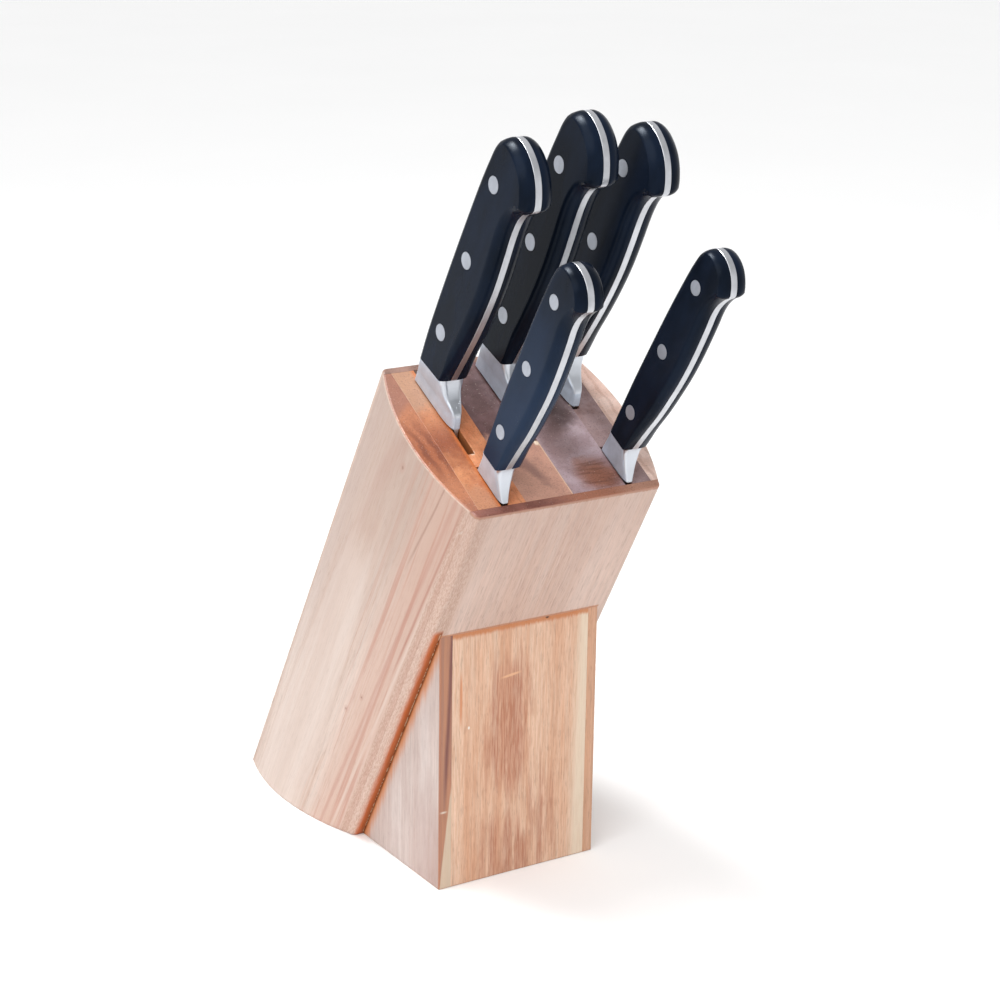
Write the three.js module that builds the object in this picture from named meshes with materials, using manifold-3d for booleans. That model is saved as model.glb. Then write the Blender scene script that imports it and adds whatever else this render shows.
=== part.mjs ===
// A slant-bodied wooden knife block with five forged knives standing in its slots.
// Millimetres, +Z up, front of the block towards -Y, origin on the floor at the middle of the footprint.

import * as THREE from 'three';
import { mergeVertices } from 'three/addons/utils/BufferGeometryUtils.js';
import Module from 'manifold-3d';

const wasm = await Module();
wasm.setup();

// ---------------------------------------------------------------- driving dimensions

const BODY_LEAN = THREE.MathUtils.degToRad(30);  // the body leans this far forward of upright
const BODY_FRONT_LENGTH = 221.3;                 // up the front face, from the floor to the top edge
const BODY_DEPTH = 95;                           // square to the front face
const BODY_EDGE_WIDTH = 95;                      // at the front and the rear corners
const SIDE_BULGE = 9.8;                          // how far each side swells past those corners
const CORNER_RADIUS = 3;
const FRONT_BOARD = 4.3;
const REAR_BOARD = 3.8;
const CORE_HALF_WIDTH = 45.1;

const FOOT_WIDTH = 85;
const FOOT_HEIGHT = 124;
const FOOT_LEFT_STRIP = 6.5;
const FOOT_RIGHT_STRIP = 5;
const GLUE_LINE = 0.1;                           // between glued boards that meet on a tilted face

const SLOT_WIDTH = 3.6;
const LEFT_SLOTS_X = -33.6;                      // left wall of the two left-hand slots
const LEFT_SEAM_X = -21;
const MIDDLE_SEAM_X = 3.5;                       // right wall of the middle slot
const RIGHT_SLOTS_X = 31.3;                      // left wall of the two right-hand slots
const SHORT_SLOT_END = 28.5;                     // depths from the body's front face
const LEFT_SLOT_START = 36.4;
const MIDDLE_SLOT_START = 38.3;
const RIGHT_SLOT_START = 53.5;

const TANG_HALF = 1.55;
const TANG_ROOT = 2;                             // how far the tang reaches into the bolster
const TANG_ROOT_NARROWING = 0.7;
const SCALE_GAP = 0.04;
const RIVET_CLEARANCE = 0.12;
const RIVET_PROUD = 0.05;
const RIVET_SIDES = 14;
const OUTLINE_STEPS = 42;                        // points round one handle scale
const SHOULDER_TOP = 0.9;                        // underside of a bolster, above the block's top
const SHOULDER_LOW = 0.45;

// A scale's edges are eased in two steps, from a start on the edge to a set-back on the side.
// Each has the share of its set-back that is reached at the middle step.
const MIDDLE_STEP = 0.7;
const FLANK_START = TANG_HALF + 0.9;             // the belly's flank is a broad, soft rounding
const FLANK_MIDDLE = 0.32;
const FLANK_GROWTH = 20;                         // distance from the joint to the belly's own flank
const SPINE_EASING = 2.6;                        // the spine is rounded
const SPINE_MIDDLE = 0.29;
const BUTT_START = TANG_HALF + 0.4;              // the butt is crowned
const BUTT_MIDDLE = 0.46;
const BUTT_FACING = 0.45;                        // outline normals steeper than this are the butt's

// Handle outlines: [towards the spine, along the knife], clockwise from the bolster's spine corner.
// Bolster stations: [along the knife, spine, ridge, front, half thickness at those three, rounding,
// rise of the station towards the spine].
const LARGE_HANDLE = {
  jointZ: 19,
  halfAtNeck: 7.2,
  halfAtButt: 7.9,
  flankAtNeck: 4.2,
  flankAtBelly: 3.8,
  buttSetBack: 2.4,
  rivetZ: [37.8, 79, 120.2],
  rivetRadius: 3.8,
  hookZ: 121.5,
  outline: [
    [8.8, 15.6], [9.9, 30], [10.4, 50], [10.5, 75], [10.3, 98], [9.9, 115], [9.2, 126], [8.2, 134.5],
    [5.6, 140.4], [2, 141.9], [-2.6, 141.9], [-6.5, 141], [-10.5, 139.4], [-14, 137.2],
    [-17.2, 134.2], [-19.8, 130.7], [-21.7, 127.2], [-22.5, 124], [-20.8, 121.2], [-17.4, 118.4],
    [-15.2, 113], [-14.6, 107], [-14.8, 101], [-15.7, 91], [-16.6, 76], [-16.3, 62], [-15.2, 48],
    [-13.5, 34.5], [-11.2, 19],
  ],
  bolster: [
    [17.07, 8.8, -7.6, -11.2, 7.2, 7.2, 2.4, 2.6, -0.17],
    [15, 8.9, -9, -12, 6.8, 6.2, 2.4, 2.4, -0.12],
    [12.7, 9, -10.6, -13.8, 6.4, 5.2, 2.4, 2, -0.06],
    [10.8, 9, -13.7, -16.8, 6, 4.3, 2.1, 1.6, 0],
    [8.8, 9.1, -16.8, -20, 5.5, 3.4, 1.7, 1.4, 0],
    [7.2, 9.2, -19.2, -22.1, 5.1, 2.7, 1.3, 1.2, 0],
    [4, 9.3, -14.4, -23.6, 4.8, 3.5, 1.15, 1, 0],
  ],
  shoulder: {
    spine: 9.4, ridge: -11.4, front: -24.6, halfSpine: 4.5, halfRidge: 3.8, halfFront: 1.15, round: 0.9,
  },
};

const SMALL_HANDLE = {
  jointZ: 17.6,
  halfAtNeck: 6.4,
  halfAtButt: 7,
  flankAtNeck: 4.4,
  flankAtBelly: 2.9,
  buttSetBack: 1.4,
  rivetZ: [32.6, 70, 107.4],
  rivetRadius: 3.3,
  hookZ: 113.5,
  outline: [
    [6.6, 14.8], [7.3, 28], [8.2, 45], [8.7, 65], [9, 85], [8.8, 102], [8.3, 113], [7.3, 119.5],
    [5.1, 123.7], [1.8, 124.9], [-2.4, 124.9], [-6, 123.9], [-9, 122.2], [-11.5, 119.8], [-13.4, 117.2],
    [-14.4, 114.6], [-12.8, 112], [-11.2, 108.3], [-10.3, 104.5], [-10.2, 100], [-10.9, 94], [-11.8, 84],
    [-12.4, 74], [-12.5, 64], [-11.9, 53], [-10.7, 40], [-8.8, 28], [-7, 17.6],
  ],
  bolster: [
    [16.12, 6.6, -2.6, -7, 6.4, 6.4, 2.3, 2.3, -0.206],
    [13.4, 6.8, -3.4, -7.1, 5.6, 5.2, 2.3, 2.1, -0.1],
    [10, 7.1, -5.2, -8.2, 4.7, 4.3, 2.1, 1.8, 0],
    [6.6, 7.6, -6.7, -9.7, 3.9, 3.5, 1.8, 1.4, 0],
    [3.6, 8, -8.4, -11.6, 3.3, 2.9, 1.3, 1.1, 0],
  ],
  shoulder: {
    spine: 8.4, ridge: -9.4, front: -13.5, halfSpine: 2.8, halfRidge: 2.5, halfFront: 0.9, round: 0.8,
  },
};

// Blade stations below the bolster: [along the knife, spine, edge, half thickness at the spine].
const BLADES = {
  chef: {
    heel: [[-4, 8.9, -26.6, 1.3], [-9, 8.9, -29.7, 1.3], [-14, 8.9, -32.4, 1.3]],
    edge: [
      [-15, 8.9, -33, 1.3], [-30, 8.9, -33.7, 1.25], [-60, 8.7, -33.3, 1.2], [-95, 8.2, -30.9, 1.1],
      [-125, 7.2, -27, 1], [-150, 5.8, -22, 0.9], [-172, 3.6, -15.8, 0.75], [-188, 1, -9.2, 0.6],
      [-199, -2, -3.2, 0.35],
    ],
  },
  santoku: {
    heel: [[-4, 8.8, -26.6, 1.3], [-9, 8.8, -30.6, 1.3], [-14, 8.8, -34, 1.3]],
    edge: [
      [-15, 8.8, -34.8, 1.3], [-40, 8.8, -35.6, 1.2], [-80, 8.8, -35.4, 1.1], [-120, 8.4, -33.8, 1],
      [-142, 6.4, -32.1, 0.9], [-158, 1.4, -30.2, 0.8], [-169, -7.7, -28.5, 0.65], [-176, -21, -26.8, 0.4],
    ],
  },
  bread: {
    heel: [[-3, 8.8, -23.6, 1.25], [-9, 8.8, -23.6, 1.25]],
    edge: [
      [-10, 8.8, -23.6, 1.25], [-60, 8.8, -23.6, 1.15], [-120, 8.8, -23.6, 1.05], [-175, 8.8, -23.6, 0.95],
      [-188, 7.8, -21.8, 0.85], [-196, 4.6, -17.4, 0.7], [-201, -1.4, -10.4, 0.4],
    ],
    scallop: { pitch: 8, depth: 1.2, from: -16, to: -172 },
  },
  utility: {
    heel: [[-2.5, 6.9, -12.6, 1.05], [-6, 6.9, -12.9, 1.05]],
    edge: [
      [-7, 6.9, -13.3, 1.05], [-35, 6.8, -13.3, 1], [-70, 6.2, -12.5, 0.9], [-98, 4.8, -10.3, 0.75],
      [-118, 2.4, -6.6, 0.6], [-129, -1, -2.3, 0.35],
    ],
  },
  paring: {
    heel: [[-2.5, 6.8, -12.2, 1], [-5, 6.8, -12.5, 1]],
    edge: [
      [-6, 6.8, -12.9, 1], [-28, 6.4, -12.8, 0.95], [-52, 5.2, -11.2, 0.85], [-72, 3.2, -7.8, 0.65],
      [-84, 0.8, -4.2, 0.45], [-90, -1.2, -2.2, 0.3],
    ],
  },
};
const EDGE_HALF = 0.12;                          // half thickness at the cutting edge
const HEEL_HALF = 0.9;                           // and at the unsharpened heel
const RIDGE_AT = 0.62;                           // from spine to edge, where the blade thins faster
const RIDGE_THINNING = 0.45;
const BLADE_ROUND = 0.25;
const RICASSO = { halfSpine: 1.3, halfRidge: 1.1, halfFront: 1, round: 0.3 };

// Where each knife stands: across the block, back from its front face and up from its top;
// how its handle leans forward and tilts sideways (degrees), how far the blade is set back from
// the handle's line (degrees), and how much longer than its family's the handle is and its
// rivets are spaced.
const KNIVES = [
  {
    name: 'chef', handle: LARGE_HANDLE, x: -31.95, depth: 75.9, lift: 0,
    lean: 1, tilt: 0, cant: 0, longer: 1, rivetsLonger: 1,
  },
  {
    name: 'santoku', handle: LARGE_HANDLE, x: 1.7, depth: 79.6, lift: 0.9,
    lean: 0.1, tilt: 0.3, cant: 0, longer: 1.045, rivetsLonger: 1.02,
  },
  {
    name: 'bread', handle: LARGE_HANDLE, x: 33.1, depth: 79, lift: 1.2,
    lean: 1.6, tilt: 0.1, cant: 1.6, longer: 1, rivetsLonger: 1,
  },
  {
    name: 'utility', handle: SMALL_HANDLE, x: -31.7, depth: 18.2, lift: 0.2,
    lean: 1.9, tilt: 0, cant: 0, longer: 1, rivetsLonger: 1,
  },
  {
    name: 'paring', handle: SMALL_HANDLE, x: 33.4, depth: 18.1, lift: 1.2,
    lean: 4.2, tilt: 0.7, cant: 0, longer: 1.025, rivetsLonger: 1.02,
  },
];

// ---------------------------------------------------------------- materials

const WOOD = {
  front: 0xcf9f80, rear: 0xc08f70, left: 0xd9b196, right: 0xcfa588,
  orange: 0xb8703c, brown: 0x74472f, plum: 0x6b4740, umber: 0x7d5344,
  footBrown: 0xb98a63, footTan: 0xc98f62,
};

function wood(color) {
  return new THREE.MeshStandardMaterial({ color, roughness: 0.6, metalness: 0 });
}

function plastic() {
  return new THREE.MeshStandardMaterial({ color: 0x14171d, roughness: 0.38, metalness: 0 });
}

function steel(roughness) {
  return new THREE.MeshStandardMaterial({ color: 0xc4c5c8, roughness, metalness: 1 });
}

function namedMesh(name, geometry, material) {
  const mesh = new THREE.Mesh(geometry, material);
  mesh.name = name;
  return mesh;
}

// ---------------------------------------------------------------- solids by hand

const mix = (a, b, t) => a + (b - a) * t;

function weldedPositions(geometry) {
  const bare = geometry.clone();
  bare.deleteAttribute('normal');
  bare.deleteAttribute('uv');
  return mergeVertices(bare, 1e-4);
}

function toSolid(geometry) {
  const welded = weldedPositions(geometry);
  const vertProperties = new Float32Array(welded.attributes.position.array);
  const triVerts = new Uint32Array(welded.index.array);
  return new wasm.Manifold(new wasm.Mesh({ numProp: 3, vertProperties, triVerts }));
}

function toGeometry(solid) {
  const mesh = solid.getMesh();
  const geometry = new THREE.BufferGeometry();
  geometry.setAttribute('position', new THREE.BufferAttribute(new Float32Array(mesh.vertProperties), 3));
  geometry.setIndex(new THREE.BufferAttribute(new Uint32Array(mesh.triVerts), 1));
  return geometry;
}

// A closed skin over rings of points: ring after ring, with both ends capped.
// Each ring is a list of Vector3, and flat(point) gives the 2-D place used to triangulate the caps.
function skin(rings, flat) {
  const positions = rings.flat().flatMap((p) => [p.x, p.y, p.z]);
  const count = rings[0].length;
  const index = [];
  for (let r = 0; r + 1 < rings.length; r += 1) {
    for (let i = 0; i < count; i += 1) {
      const a = r * count + i;
      const b = r * count + ((i + 1) % count);
      index.push(a, b, b + count, a, b + count, a + count);
    }
  }
  const last = (rings.length - 1) * count;
  const cap = (ring, first, turned) => {
    const contour = ring.map(flat);
    const clockwise = THREE.ShapeUtils.isClockWise(contour);
    THREE.ShapeUtils.triangulateShape(contour, []).forEach(([a, b, c]) => {
      if (clockwise === turned) index.push(first + a, first + b, first + c);
      else index.push(first + a, first + c, first + b);
    });
  };
  cap(rings[0], 0, true);
  cap(rings[rings.length - 1], last, false);
  const geometry = new THREE.BufferGeometry();
  geometry.setAttribute('position', new THREE.Float32BufferAttribute(positions, 3));
  geometry.setIndex(index);
  return facingOut(geometry);
}

function facingOut(geometry) {
  const p = geometry.attributes.position;
  const index = geometry.index.array;
  const [a, b, c] = [new THREE.Vector3(), new THREE.Vector3(), new THREE.Vector3()];
  let volume = 0;
  for (let i = 0; i < index.length; i += 3) {
    a.fromBufferAttribute(p, index[i]);
    b.fromBufferAttribute(p, index[i + 1]);
    c.fromBufferAttribute(p, index[i + 2]);
    volume += a.dot(b.cross(c));
  }
  if (volume < 0) {
    for (let i = 0; i < index.length; i += 3) {
      [index[i + 1], index[i + 2]] = [index[i + 2], index[i + 1]];
    }
  }
  return geometry;
}

// ---------------------------------------------------------------- the body's boards

const SIDE_RADIUS = ((BODY_DEPTH / 2) ** 2 + SIDE_BULGE ** 2) / (2 * SIDE_BULGE);

// Half width of the body at a depth w behind its front face.
function bodyHalfWidth(w) {
  const fromMiddle = w - BODY_DEPTH / 2;
  const arc = Math.sqrt(SIDE_RADIUS ** 2 - fromMiddle ** 2) - (SIDE_RADIUS - SIDE_BULGE);
  return BODY_EDGE_WIDTH / 2 + arc;
}

function sideArc(from, to, steps) {
  return Array.from({ length: steps + 1 }, (_, i) => {
    const w = mix(from, to, i / steps);
    return [bodyHalfWidth(w), w];
  });
}

// A board of the body: an outline across the body, [x, depth], run up the lean and cut level
// with the floor at its foot. Its local axes are across, back and up the lean.
function slantBoard(outline) {
  const bottom = outline.map(([x, w]) => new THREE.Vector3(x, w, -w * Math.tan(BODY_LEAN)));
  const top = outline.map(([x, w]) => new THREE.Vector3(x, w, BODY_FRONT_LENGTH));
  return skin([bottom, top], (p) => new THREE.Vector2(p.x, p.y));
}

function roundedCorner(x, w, cornerW, steps = 3) {
  // A quarter-round between the side at depth w and the face at cornerW, on the right-hand side.
  return Array.from({ length: steps + 1 }, (_, i) => {
    const angle = (i / steps) * (Math.PI / 2);
    return [
      mix(x - CORNER_RADIUS, x, Math.cos(angle)),
      mix(w, cornerW, Math.sin(angle)),
    ];
  });
}

function faceBoard(innerW, faceW) {
  const roundW = faceW < innerW ? faceW + CORNER_RADIUS : faceW - CORNER_RADIUS;
  const right = [
    [bodyHalfWidth(innerW), innerW],
    ...roundedCorner(bodyHalfWidth(roundW), roundW, faceW),
  ];
  const left = right.map(([x, w]) => [-x, w]).reverse();
  return slantBoard([...right, ...left]);
}

function sideBoard(side) {
  const from = FRONT_BOARD + GLUE_LINE;
  const to = BODY_DEPTH - REAR_BOARD - GLUE_LINE;
  const outline = [[CORE_HALF_WIDTH, from], ...sideArc(from, to, 12), [CORE_HALF_WIDTH, to]];
  return slantBoard(outline.map(([x, w]) => [side * x, w]));
}

// A core strip from x0 to x1, with slots sunk into one of its faces. Each slot is [start, end]
// in depth; grooveX is the slot's floor and faceX the face that it opens on.
function coreStrip(x0, x1, faceX = null, grooveX = null, slots = []) {
  const from = FRONT_BOARD + GLUE_LINE;
  const to = BODY_DEPTH - REAR_BOARD - GLUE_LINE;
  const plainX = faceX === x0 ? x1 : x0;
  if (faceX === null) {
    return slantBoard([[x0, from], [x1, from], [x1, to], [x0, to]]);
  }
  const outline = [[plainX, from]];
  let w = from;
  for (const [start, end] of slots) {
    if (start > w) outline.push([faceX, w], [faceX, start]);
    outline.push([grooveX, Math.max(start, from)], [grooveX, Math.min(end, to)]);
    w = Math.min(end, to);
  }
  if (w < to) outline.push([faceX, w], [faceX, to]);
  outline.push([plainX, to]);
  return slantBoard(outline);
}

function bodyBoards() {
  const boards = new THREE.Group();
  const add = (name, geometry, color) => boards.add(namedMesh(name, geometry, wood(color)));
  const rearSlot = (start) => [start, BODY_DEPTH];
  add('body_front_board', faceBoard(FRONT_BOARD, 0), WOOD.front);
  add('body_rear_board', faceBoard(BODY_DEPTH - REAR_BOARD, BODY_DEPTH), WOOD.rear);
  add('body_left_board', sideBoard(-1), WOOD.left);
  add('body_right_board', sideBoard(1), WOOD.right);
  add('core_strip_1', coreStrip(-CORE_HALF_WIDTH, LEFT_SLOTS_X), WOOD.orange);
  add('core_strip_2', coreStrip(LEFT_SLOTS_X, LEFT_SEAM_X, LEFT_SLOTS_X, LEFT_SLOTS_X + SLOT_WIDTH,
    [[0, SHORT_SLOT_END], rearSlot(LEFT_SLOT_START)]), WOOD.orange);
  add('core_strip_3', coreStrip(LEFT_SEAM_X, MIDDLE_SEAM_X, MIDDLE_SEAM_X, MIDDLE_SEAM_X - SLOT_WIDTH,
    [rearSlot(MIDDLE_SLOT_START)]), WOOD.brown);
  add('core_strip_4', coreStrip(MIDDLE_SEAM_X, RIGHT_SLOTS_X), WOOD.plum);
  add('core_strip_5', coreStrip(RIGHT_SLOTS_X, CORE_HALF_WIDTH, RIGHT_SLOTS_X, RIGHT_SLOTS_X + SLOT_WIDTH,
    [[0, SHORT_SLOT_END], rearSlot(RIGHT_SLOT_START)]), WOOD.umber);
  return boards;
}

// ---------------------------------------------------------------- the foot

// The foot is a wedge with an upright front: it fills the corner between the body's
// leaning front face and the floor. Three upright boards are glued side by side.
function footBoard(x0, x1) {
  const reach = FOOT_HEIGHT * Math.tan(BODY_LEAN);
  const back = -GLUE_LINE / Math.cos(BODY_LEAN);
  const profile = [[-reach, 0], [back, 0], [-reach, (reach + back) / Math.tan(BODY_LEAN)]];
  const ringAt = (x) => profile.map(([y, z]) => new THREE.Vector3(x, y, z));
  return skin([ringAt(x0), ringAt(x1)], (p) => new THREE.Vector2(p.y, p.z));
}

function foot() {
  const half = FOOT_WIDTH / 2;
  const leftSeam = -half + FOOT_LEFT_STRIP;
  const rightSeam = half - FOOT_RIGHT_STRIP;
  const boards = new THREE.Group();
  boards.add(
    namedMesh('foot_left_strip', footBoard(-half, leftSeam), wood(WOOD.footBrown)),
    namedMesh('foot_centre_board', footBoard(leftSeam, rightSeam), wood(WOOD.footTan)),
    namedMesh('foot_right_strip', footBoard(rightSeam, half), wood(WOOD.footBrown)),
  );
  return boards;
}

// ---------------------------------------------------------------- knives
// Knife axes: x across the blade, y towards the spine, z up the handle; z = 0 at the block's top.

// A handle of the same family, drawn out along its length from the bolster joint.
function lengthened(handle, factor, rivetFactor) {
  const along = (z, by) => (z < handle.jointZ ? z : handle.jointZ + (z - handle.jointZ) * by);
  return {
    ...handle,
    rivetZ: handle.rivetZ.map((z) => along(z, rivetFactor)),
    hookZ: along(handle.hookZ, factor),
    outline: handle.outline.map(([y, z]) => [y, along(z, factor)]),
  };
}

function handleOutline(handle) {
  const points = handle.outline.map(([y, z]) => new THREE.Vector3(0, y, z));
  const curve = new THREE.CatmullRomCurve3(points, false, 'centripetal');
  return curve.getSpacedPoints(OUTLINE_STEPS - 1);
}

// How an edge is eased at one point of the outline: where on the edge it starts, how far back
// from the outline it ends on the side, and how much of that the middle step has reached.
function easing(point, normal, handle, half) {
  const { smoothstep } = THREE.MathUtils;
  const fromNeck = smoothstep(point.z, handle.jointZ, handle.jointZ + FLANK_GROWTH);
  const flank = {
    back: mix(handle.flankAtNeck, handle.flankAtBelly, fromNeck),
    start: FLANK_START,
    middle: FLANK_MIDDLE,
  };
  const spine = { back: SPINE_EASING, start: half - SPINE_EASING, middle: SPINE_MIDDLE };
  const butt = { back: handle.buttSetBack, start: BUTT_START, middle: BUTT_MIDDLE };
  const blend = (a, b, t) => ({
    back: mix(a.back, b.back, t),
    start: mix(a.start, b.start, t),
    middle: mix(a.middle, b.middle, t),
  });
  const side = blend(flank, spine, smoothstep(normal.y, -0.3, 0.3));
  const aboveHook = point.z > handle.hookZ && normal.y < 0;
  const onButt = aboveHook ? 1 : smoothstep(normal.z, BUTT_FACING - 0.2, BUTT_FACING + 0.2);
  return blend(side, butt, onButt);
}

// Half the handle's thickness, from the neck up to the butt's hook.
function halfThickness(handle, z) {
  const along = (z - handle.jointZ) / (handle.hookZ - handle.jointZ);
  return mix(handle.halfAtNeck, handle.halfAtButt, THREE.MathUtils.clamp(along, 0, 1));
}

// One handle scale: rings from the tang outwards, the last ones drawn in to ease its edges.
function scaleGeometry(handle, side) {
  const outline = handleOutline(handle);
  const last = outline.length - 1;
  const jointSlope = (outline[0].z - outline[last].z) / (outline[0].y - outline[last].y);
  const inner = outline.map((p) => new THREE.Vector3(side * (TANG_HALF + SCALE_GAP), p.y, p.z));
  const ringAt = (step) => outline.map((p, i) => {
    const before = outline[Math.max(i - 1, 0)];
    const after = outline[Math.min(i + 1, last)];
    const normal = new THREE.Vector3(0, after.z - before.z, before.y - after.y).normalize();
    const half = halfThickness(handle, p.z);
    const { back, start, middle } = easing(p, normal, handle, half);
    const inset = back * (step === MIDDLE_STEP ? middle : step);
    const atJoint = i === 0 || i === last;
    const x = side * mix(start, half, step);
    if (!atJoint) return new THREE.Vector3(x, p.y - normal.y * inset, p.z - normal.z * inset);
    const y = p.y - Math.sign(p.y) * inset;
    return new THREE.Vector3(x, y, p.z + (y - p.y) * jointSlope);
  });
  const rings = [inner, ringAt(0), ringAt(MIDDLE_STEP), ringAt(1)];
  const solid = skin(rings, (p) => new THREE.Vector2(p.y, p.z));
  return toGeometry(cutRivetHoles(toSolid(solid), handle));
}

function crossPin(radius, halfLength, z) {
  const pin = new THREE.CylinderGeometry(radius, radius, 2 * halfLength, RIVET_SIDES);
  pin.rotateZ(Math.PI / 2);
  pin.translate(0, 0, z);
  return pin;
}

function cutRivetHoles(solid, handle) {
  const through = handle.halfAtButt + RIVET_CLEARANCE + 1;
  return handle.rivetZ.reduce(
    (rest, z) => rest.subtract(toSolid(crossPin(handle.rivetRadius + RIVET_CLEARANCE, through, z))),
    solid,
  );
}

// Half a section of the bolster or blade, from the spine round to the front or edge.
function halfSection({ spine, ridge, front, halfSpine, halfRidge, halfFront, round }) {
  const eased = Math.SQRT1_2;
  const squareBack = Math.max(halfSpine - round, halfSpine * 0.55);
  return [
    [spine, squareBack],
    [spine - round * (1 - eased), mix(halfSpine, squareBack, (1 - eased) * 0.6)],
    [spine - round, halfSpine],
    [ridge, halfRidge],
    [mix(ridge, front, eased), mix(halfRidge, halfFront, 1 - eased)],
    [front, halfFront],
  ];
}

function sectionRing(station) {
  const half = halfSection(station);
  const place = ([y, x], side) => new THREE.Vector3(side * x, y, station.z + (station.rise ?? 0) * y);
  return [...half.map((p) => place(p, 1)), ...half.reverse().map((p) => place(p, -1))];
}

function bolsterStation([z, spine, ridge, front, halfSpine, halfRidge, halfFront, round, rise]) {
  return { z, spine, ridge, front, halfSpine, halfRidge, halfFront, round, rise };
}

function bladeStation(z, spine, edge, half, edgeHalf) {
  const ridge = mix(spine, edge, RIDGE_AT);
  const halfRidge = mix(half, edgeHalf, RIDGE_THINNING);
  const halves = { halfSpine: half, halfRidge, halfFront: edgeHalf };
  return { z, spine, ridge, front: edge, ...halves, round: BLADE_ROUND };
}

// The sharpened stations, with the stretch between two of them stepped into scallops if it has any.
function edgeStations(blade) {
  const sharp = ([z, spine, edge, half]) => bladeStation(z, spine, edge, half, EDGE_HALF);
  const stations = blade.edge.map(sharp);
  if (!blade.scallop) return stations;
  const { pitch, depth, from, to } = blade.scallop;
  const toothed = [];
  for (let z = from; z >= to; z -= pitch / 2) {
    const above = stations.findLast((s) => s.z > z);
    const below = stations.find((s) => s.z <= z);
    const t = (above.z - z) / (above.z - below.z);
    const hollow = Math.round((from - z) / (pitch / 2)) % 2;
    const edge = mix(above.front, below.front, t) + depth * hollow;
    const half = mix(above.halfSpine, below.halfSpine, t);
    toothed.push(bladeStation(z, mix(above.spine, below.spine, t), edge, half, EDGE_HALF));
  }
  const outside = stations.filter((s) => s.z > from || s.z < to);
  return [...outside, ...toothed].sort((a, b) => b.z - a.z);
}

function forgedBlade(handle, blade, { lean, lift, cant }) {
  const levelWithBlock = -Math.tan(THREE.MathUtils.degToRad(lean));
  const setBack = Math.tan(THREE.MathUtils.degToRad(cant));
  const canted = (station) => {
    const shift = setBack * station.z;
    const { spine, ridge, front } = station;
    return { ...station, spine: spine + shift, ridge: ridge + shift, front: front + shift };
  };
  const ricasso = { ...handle.shoulder, ...RICASSO, spine: blade.heel[0][1] };
  const heel = blade.heel.map(([z, spine, edge, half]) => bladeStation(z, spine, edge, half, HEEL_HALF));
  const rings = [
    ...handle.bolster.map(bolsterStation),
    { ...handle.shoulder, z: SHOULDER_TOP - lift, rise: levelWithBlock },
    { ...ricasso, z: SHOULDER_LOW - lift, rise: levelWithBlock },
    ...[...heel, ...edgeStations(blade)].map(canted),
  ].map(sectionRing);
  return skin(rings, (p) => new THREE.Vector2(p.x, p.y));
}

// The tang is a flat plate of the handle's outline, reaching a little way into the bolster.
function tangPlate(handle) {
  const outline = handleOutline(handle);
  const ends = [outline[outline.length - 1], outline[0]];
  const rootZ = outline[0].z - TANG_ROOT;
  const root = ends.map((p) => new THREE.Vector3(0, p.y * TANG_ROOT_NARROWING, rootZ));
  const plate = [...outline, ...root];
  const ringAt = (x) => plate.map((p) => new THREE.Vector3(x, p.y, p.z));
  return skin([ringAt(-TANG_HALF), ringAt(TANG_HALF)], (p) => new THREE.Vector2(p.y, p.z));
}

function bladeGeometry(spec, handle) {
  const forged = toSolid(forgedBlade(handle, BLADES[spec.name], spec));
  const whole = forged.add(toSolid(tangPlate(handle)));
  return toGeometry(cutRivetHoles(whole, handle));
}

function rivetGeometry(handle, z) {
  return crossPin(handle.rivetRadius, halfThickness(handle, z) + RIVET_PROUD, z);
}

function knife(spec) {
  const group = new THREE.Group();
  const { name } = spec;
  const handle = lengthened(spec.handle, spec.longer, spec.rivetsLonger);
  group.add(
    namedMesh(`${name}_blade`, bladeGeometry(spec, handle), steel(0.28)),
    namedMesh(`${name}_scale_left`, scaleGeometry(handle, -1), plastic()),
    namedMesh(`${name}_scale_right`, scaleGeometry(handle, 1), plastic()),
  );
  handle.rivetZ.forEach((z, i) => {
    group.add(namedMesh(`${name}_rivet_${i + 1}`, rivetGeometry(handle, z), steel(0.35)));
  });
  group.position.set(spec.x, spec.depth, BODY_FRONT_LENGTH + spec.lift);
  group.rotation.set(THREE.MathUtils.degToRad(spec.lean), THREE.MathUtils.degToRad(spec.tilt), 0);
  return group;
}

// ---------------------------------------------------------------- the whole block

const FOOTPRINT_FRONT = -FOOT_HEIGHT * Math.tan(BODY_LEAN);
const FOOTPRINT_REAR = BODY_DEPTH / Math.cos(BODY_LEAN);

const leaning = new THREE.Group();
leaning.add(bodyBoards(), ...KNIVES.map(knife));
leaning.rotation.x = BODY_LEAN;

const standing = new THREE.Group();
standing.add(leaning, foot());
standing.position.y = -(FOOTPRINT_FRONT + FOOTPRINT_REAR) / 2;

const knifeBlock = new THREE.Group();
knifeBlock.add(standing);

export default knifeBlock;
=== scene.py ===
# Looks of the knife block: shaped boards and knives with procedural materials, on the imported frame.
import math

import bmesh
import bpy
from mathutils import Matrix, Vector


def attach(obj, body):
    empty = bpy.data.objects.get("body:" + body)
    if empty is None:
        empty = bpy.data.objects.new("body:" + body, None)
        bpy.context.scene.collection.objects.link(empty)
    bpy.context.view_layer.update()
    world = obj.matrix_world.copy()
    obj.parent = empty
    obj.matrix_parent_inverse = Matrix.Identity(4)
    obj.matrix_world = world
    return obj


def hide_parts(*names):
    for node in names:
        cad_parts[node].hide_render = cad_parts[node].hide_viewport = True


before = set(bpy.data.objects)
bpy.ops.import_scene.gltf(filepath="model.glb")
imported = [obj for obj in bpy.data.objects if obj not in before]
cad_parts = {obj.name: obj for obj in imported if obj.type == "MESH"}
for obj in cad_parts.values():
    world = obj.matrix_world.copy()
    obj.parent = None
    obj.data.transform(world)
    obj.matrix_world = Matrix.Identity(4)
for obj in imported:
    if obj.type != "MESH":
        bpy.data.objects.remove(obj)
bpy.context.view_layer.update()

MM = 0.001

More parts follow.
